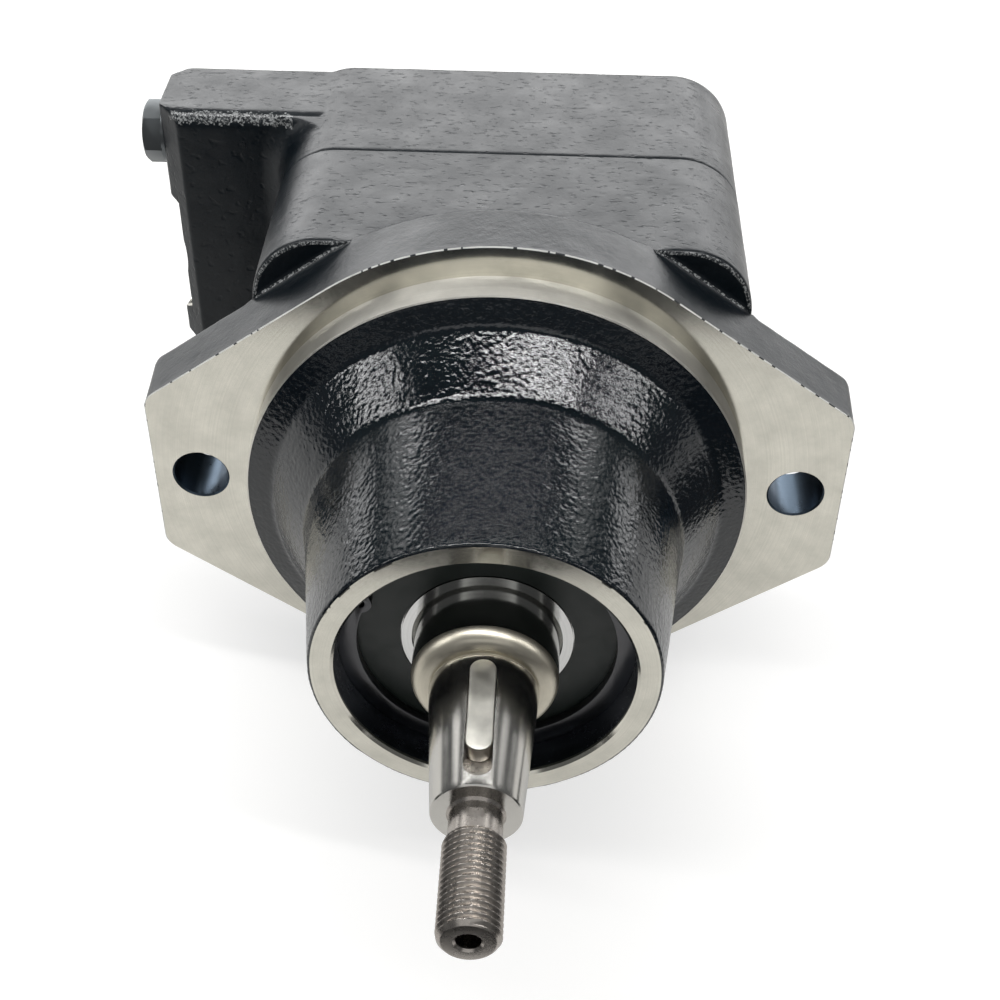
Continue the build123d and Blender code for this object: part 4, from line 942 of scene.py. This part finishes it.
# Materials of the nodes that keep their CAD shape. Those not named here are of bearing steel
finishes = {
    "cap_screws": screw_black, "drain_plug": plated, "plug_washer": plated, "shaft_key": key_steel,
    "front_plate": ground_iron, "rear_plate": ground_iron, "cam_ring": ground_iron, "rotor": ground_iron,
    "plate_disc_spring": dark_steel, "vane_springs": dark_steel,
    "bearing_snap_ring": dark_steel, "seal_snap_ring": dark_steel, "seal_garter_spring": plated,
    "front_bearing_cage": polyamide, "rear_bearing_cage": polyamide, "front_bearing_shields": shield_rubber,
    "shaft_seal": seal_rubber, "cap_seal_ring": seal_rubber,
    "front_plate_seal_ring": seal_rubber, "rear_plate_seal_ring": seal_rubber,
}
for name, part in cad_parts.items():
    finish = finishes.get(name, bearing_steel)
    if not part.material_slots:
        part.data.materials.append(finish)
    for material_slot in part.material_slots:
        material_slot.material = finish


def softened(name, new_name, body, width):
    """A copy of a CAD node with its sharp edges broken by width millimetres, which stands for the node."""
    made = bmesh.new()
    made.from_mesh(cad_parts[name].data)
    bmesh.ops.remove_doubles(made, verts=made.verts, dist=1e-6)
    bmesh.ops.dissolve_limit(made, angle_limit=math.radians(1), verts=made.verts, edges=made.edges)
    piece = from_bmesh(new_name, made, FINE_SMOOTH_ANGLE, finishes[name])
    step = piece.modifiers.new("edge", "BEVEL")
    step.width = width * MM
    step.segments = 2
    step.limit_method = "ANGLE"
    step.angle_limit = math.radians(35)
    apply_modifiers(piece)
    shade(piece, FINE_SMOOTH_ANGLE)
    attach(piece, body)
    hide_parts(name)


softened("shaft_key", "key_bar", "rotor_assembly", 0.22)
softened("drain_plug", "hexagon_plug", "motor_body", 0.2)
softened("bearing_snap_ring", "nose_snap_ring", "motor_body", 0.18)
softened("cap_screws", "socket_screws", "motor_body", 0.3)

# Camera, from a fit to the round and straight edges. From here on, places and sizes are in metres
FOCAL_PIXELS, PICTURE_PIXELS = 1624.6, 1000
SENSOR = 36.0
CAMERA_PLACE = (0.01107, -0.33412, 0.28146)
AZIMUTH, ELEVATION, ROLL = math.radians(-1.75), math.radians(40.65), math.radians(0.74)
ahead = Vector((
    math.sin(AZIMUTH) * math.cos(ELEVATION), math.cos(AZIMUTH) * math.cos(ELEVATION), -math.sin(ELEVATION),
))
level = Vector((math.cos(AZIMUTH), -math.sin(AZIMUTH), 0))
upright = level.cross(ahead)
right = math.cos(ROLL) * level + math.sin(ROLL) * upright
upward = math.cos(ROLL) * upright - math.sin(ROLL) * level
turned = Matrix((right, upward, -ahead)).transposed().to_4x4()
camera = bpy.data.objects.new("camera", bpy.data.cameras.new("camera"))
camera.data.sensor_width = SENSOR
camera.data.lens = FOCAL_PIXELS * SENSOR / PICTURE_PIXELS
camera.data.clip_start = 0.01
camera.matrix_world = Matrix.Translation(CAMERA_PLACE) @ turned
bpy.context.scene.collection.objects.link(camera)
bpy.context.scene.camera = camera
bpy.context.scene.view_settings.view_transform = "Standard"

# Floor, brighter to the camera and in reflections than the light on it makes it
FLOOR_Z = -0.0747
FLOOR_GLOW, MIRRORED_GLOW = 0.62, 0.30
floor_material, tree, place = start_material("floor")
path = node(tree, "ShaderNodeLightPath")
mirrored = math_node(tree, "MAXIMUM", path.outputs["Is Glossy Ray"], path.outputs["Is Transmission Ray"])
seen_glow = math_node(tree, "MULTIPLY", path.outputs["Is Camera Ray"], FLOOR_GLOW)
glow = math_node(tree, "ADD", seen_glow, math_node(tree, "MULTIPLY", mirrored, MIRRORED_GLOW))
floor_tint = blend_colours(
    tree, noise(tree, place, 400.0), colour(0.44, 0.435, 0.425), colour(0.47, 0.465, 0.455),
)
finish_material(tree, {
    "Base Color": floor_tint, "Roughness": 0.9, "Specular IOR Level": 0.1,
    "Emission Color": colour(1, 1, 1), "Emission Strength": glow,
})


def stage_plane(name, low, high, z, material):
    made = bmesh.new()
    corners = [(low[0], low[1]), (high[0], low[1]), (high[0], high[1]), (low[0], high[1])]
    made.faces.new([made.verts.new((x, y, z)) for x, y in corners])
    plane = from_bmesh(name, made, material=material)
    plane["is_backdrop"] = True
    return plane


stage_plane("floor", (-6, -6), (6, 6), FLOOR_Z, floor_material)

# Black cards on the floor, as a photographer lays them. Only reflections show them, and they take no light
card_black = plain_surface("card_black", (0.012, 0.012, 0.013), (0.8, 0.9))
CARDS = (("card_front", (-0.9, -0.9), (0.9, -0.185)), ("card_right", (0.16, -0.184), (0.6, 0.05)))
for name, low, high in CARDS:
    card = stage_plane(name, low, high, FLOOR_Z + 0.0005, card_black)
    card.visible_camera = card.visible_diffuse = card.visible_shadow = False

# Area lamps: name, place, the point they shine at, width, height and radiance
LAMPS = (
    ("back", (0, 1.25, 0.68), (0, 0.05, 0.05), 2.2, 0.66, 4.7),
    ("back_high", (0, 0.66, 1.18), (0, 0, 0.05), 1.7, 0.03, 8.0),
    ("back_left", (-1.15, 0.95, 0.85), (0, 0, 0), 0.34, 0.45, 1.2),
    ("back_right", (1.15, 0.95, 0.85), (0, 0, 0), 0.34, 0.45, 0.8),
    ("front", (0, -1.2, 0.70), (0, 0, 0), 1.5, 0.42, 0.7),
    ("low_left", (-0.95, 1.15, 0.13), (0, 0, 0), 0.9, 0.34, 2.2),
    ("low_right", (0.95, 1.15, 0.13), (0, 0, 0), 0.9, 0.34, 2.2),
    ("key", (-0.05, -0.17, 0.97), (0, 0, 0), 1.7, 0.07, 24.0),
    ("side_left", (-0.93, -0.25, 0.56), (0, 0, 0), 0.10, 0.50, 11.0),
    ("side_right", (0.93, -0.25, 0.56), (0, 0, 0), 0.10, 0.50, 9.0),
)
for name, place, target, width, height, radiance in LAMPS:
    light = bpy.data.lights.new(name, "AREA")
    light.shape = "RECTANGLE"
    light.size, light.size_y = width, height
    light.energy = radiance * math.pi * width * height
    lamp = bpy.data.objects.new(name, light)
    lamp.location = place
    lamp.rotation_euler = (Vector(target) - Vector(place)).to_track_quat("-Z", "Y").to_euler()
    lamp.visible_camera = False
    bpy.context.scene.collection.objects.link(lamp)

# Sky, weak as a light and white to the camera
SKY_LIGHT, SKY_SHOWN = 0.12, 0.9
world = bpy.data.worlds.new("studio")
world.use_nodes = True
tree = world.node_tree
background = tree.nodes["Background"]
background.inputs["Color"].default_value = colour(0.96, 0.98, 1.0)
path = node(tree, "ShaderNodeLightPath")
strength = math_node(tree, "MULTIPLY_ADD", path.outputs["Is Camera Ray"], SKY_SHOWN, SKY_LIGHT)
tree.links.new(strength, background.inputs["Strength"])
bpy.context.scene.world = world

low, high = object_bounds()
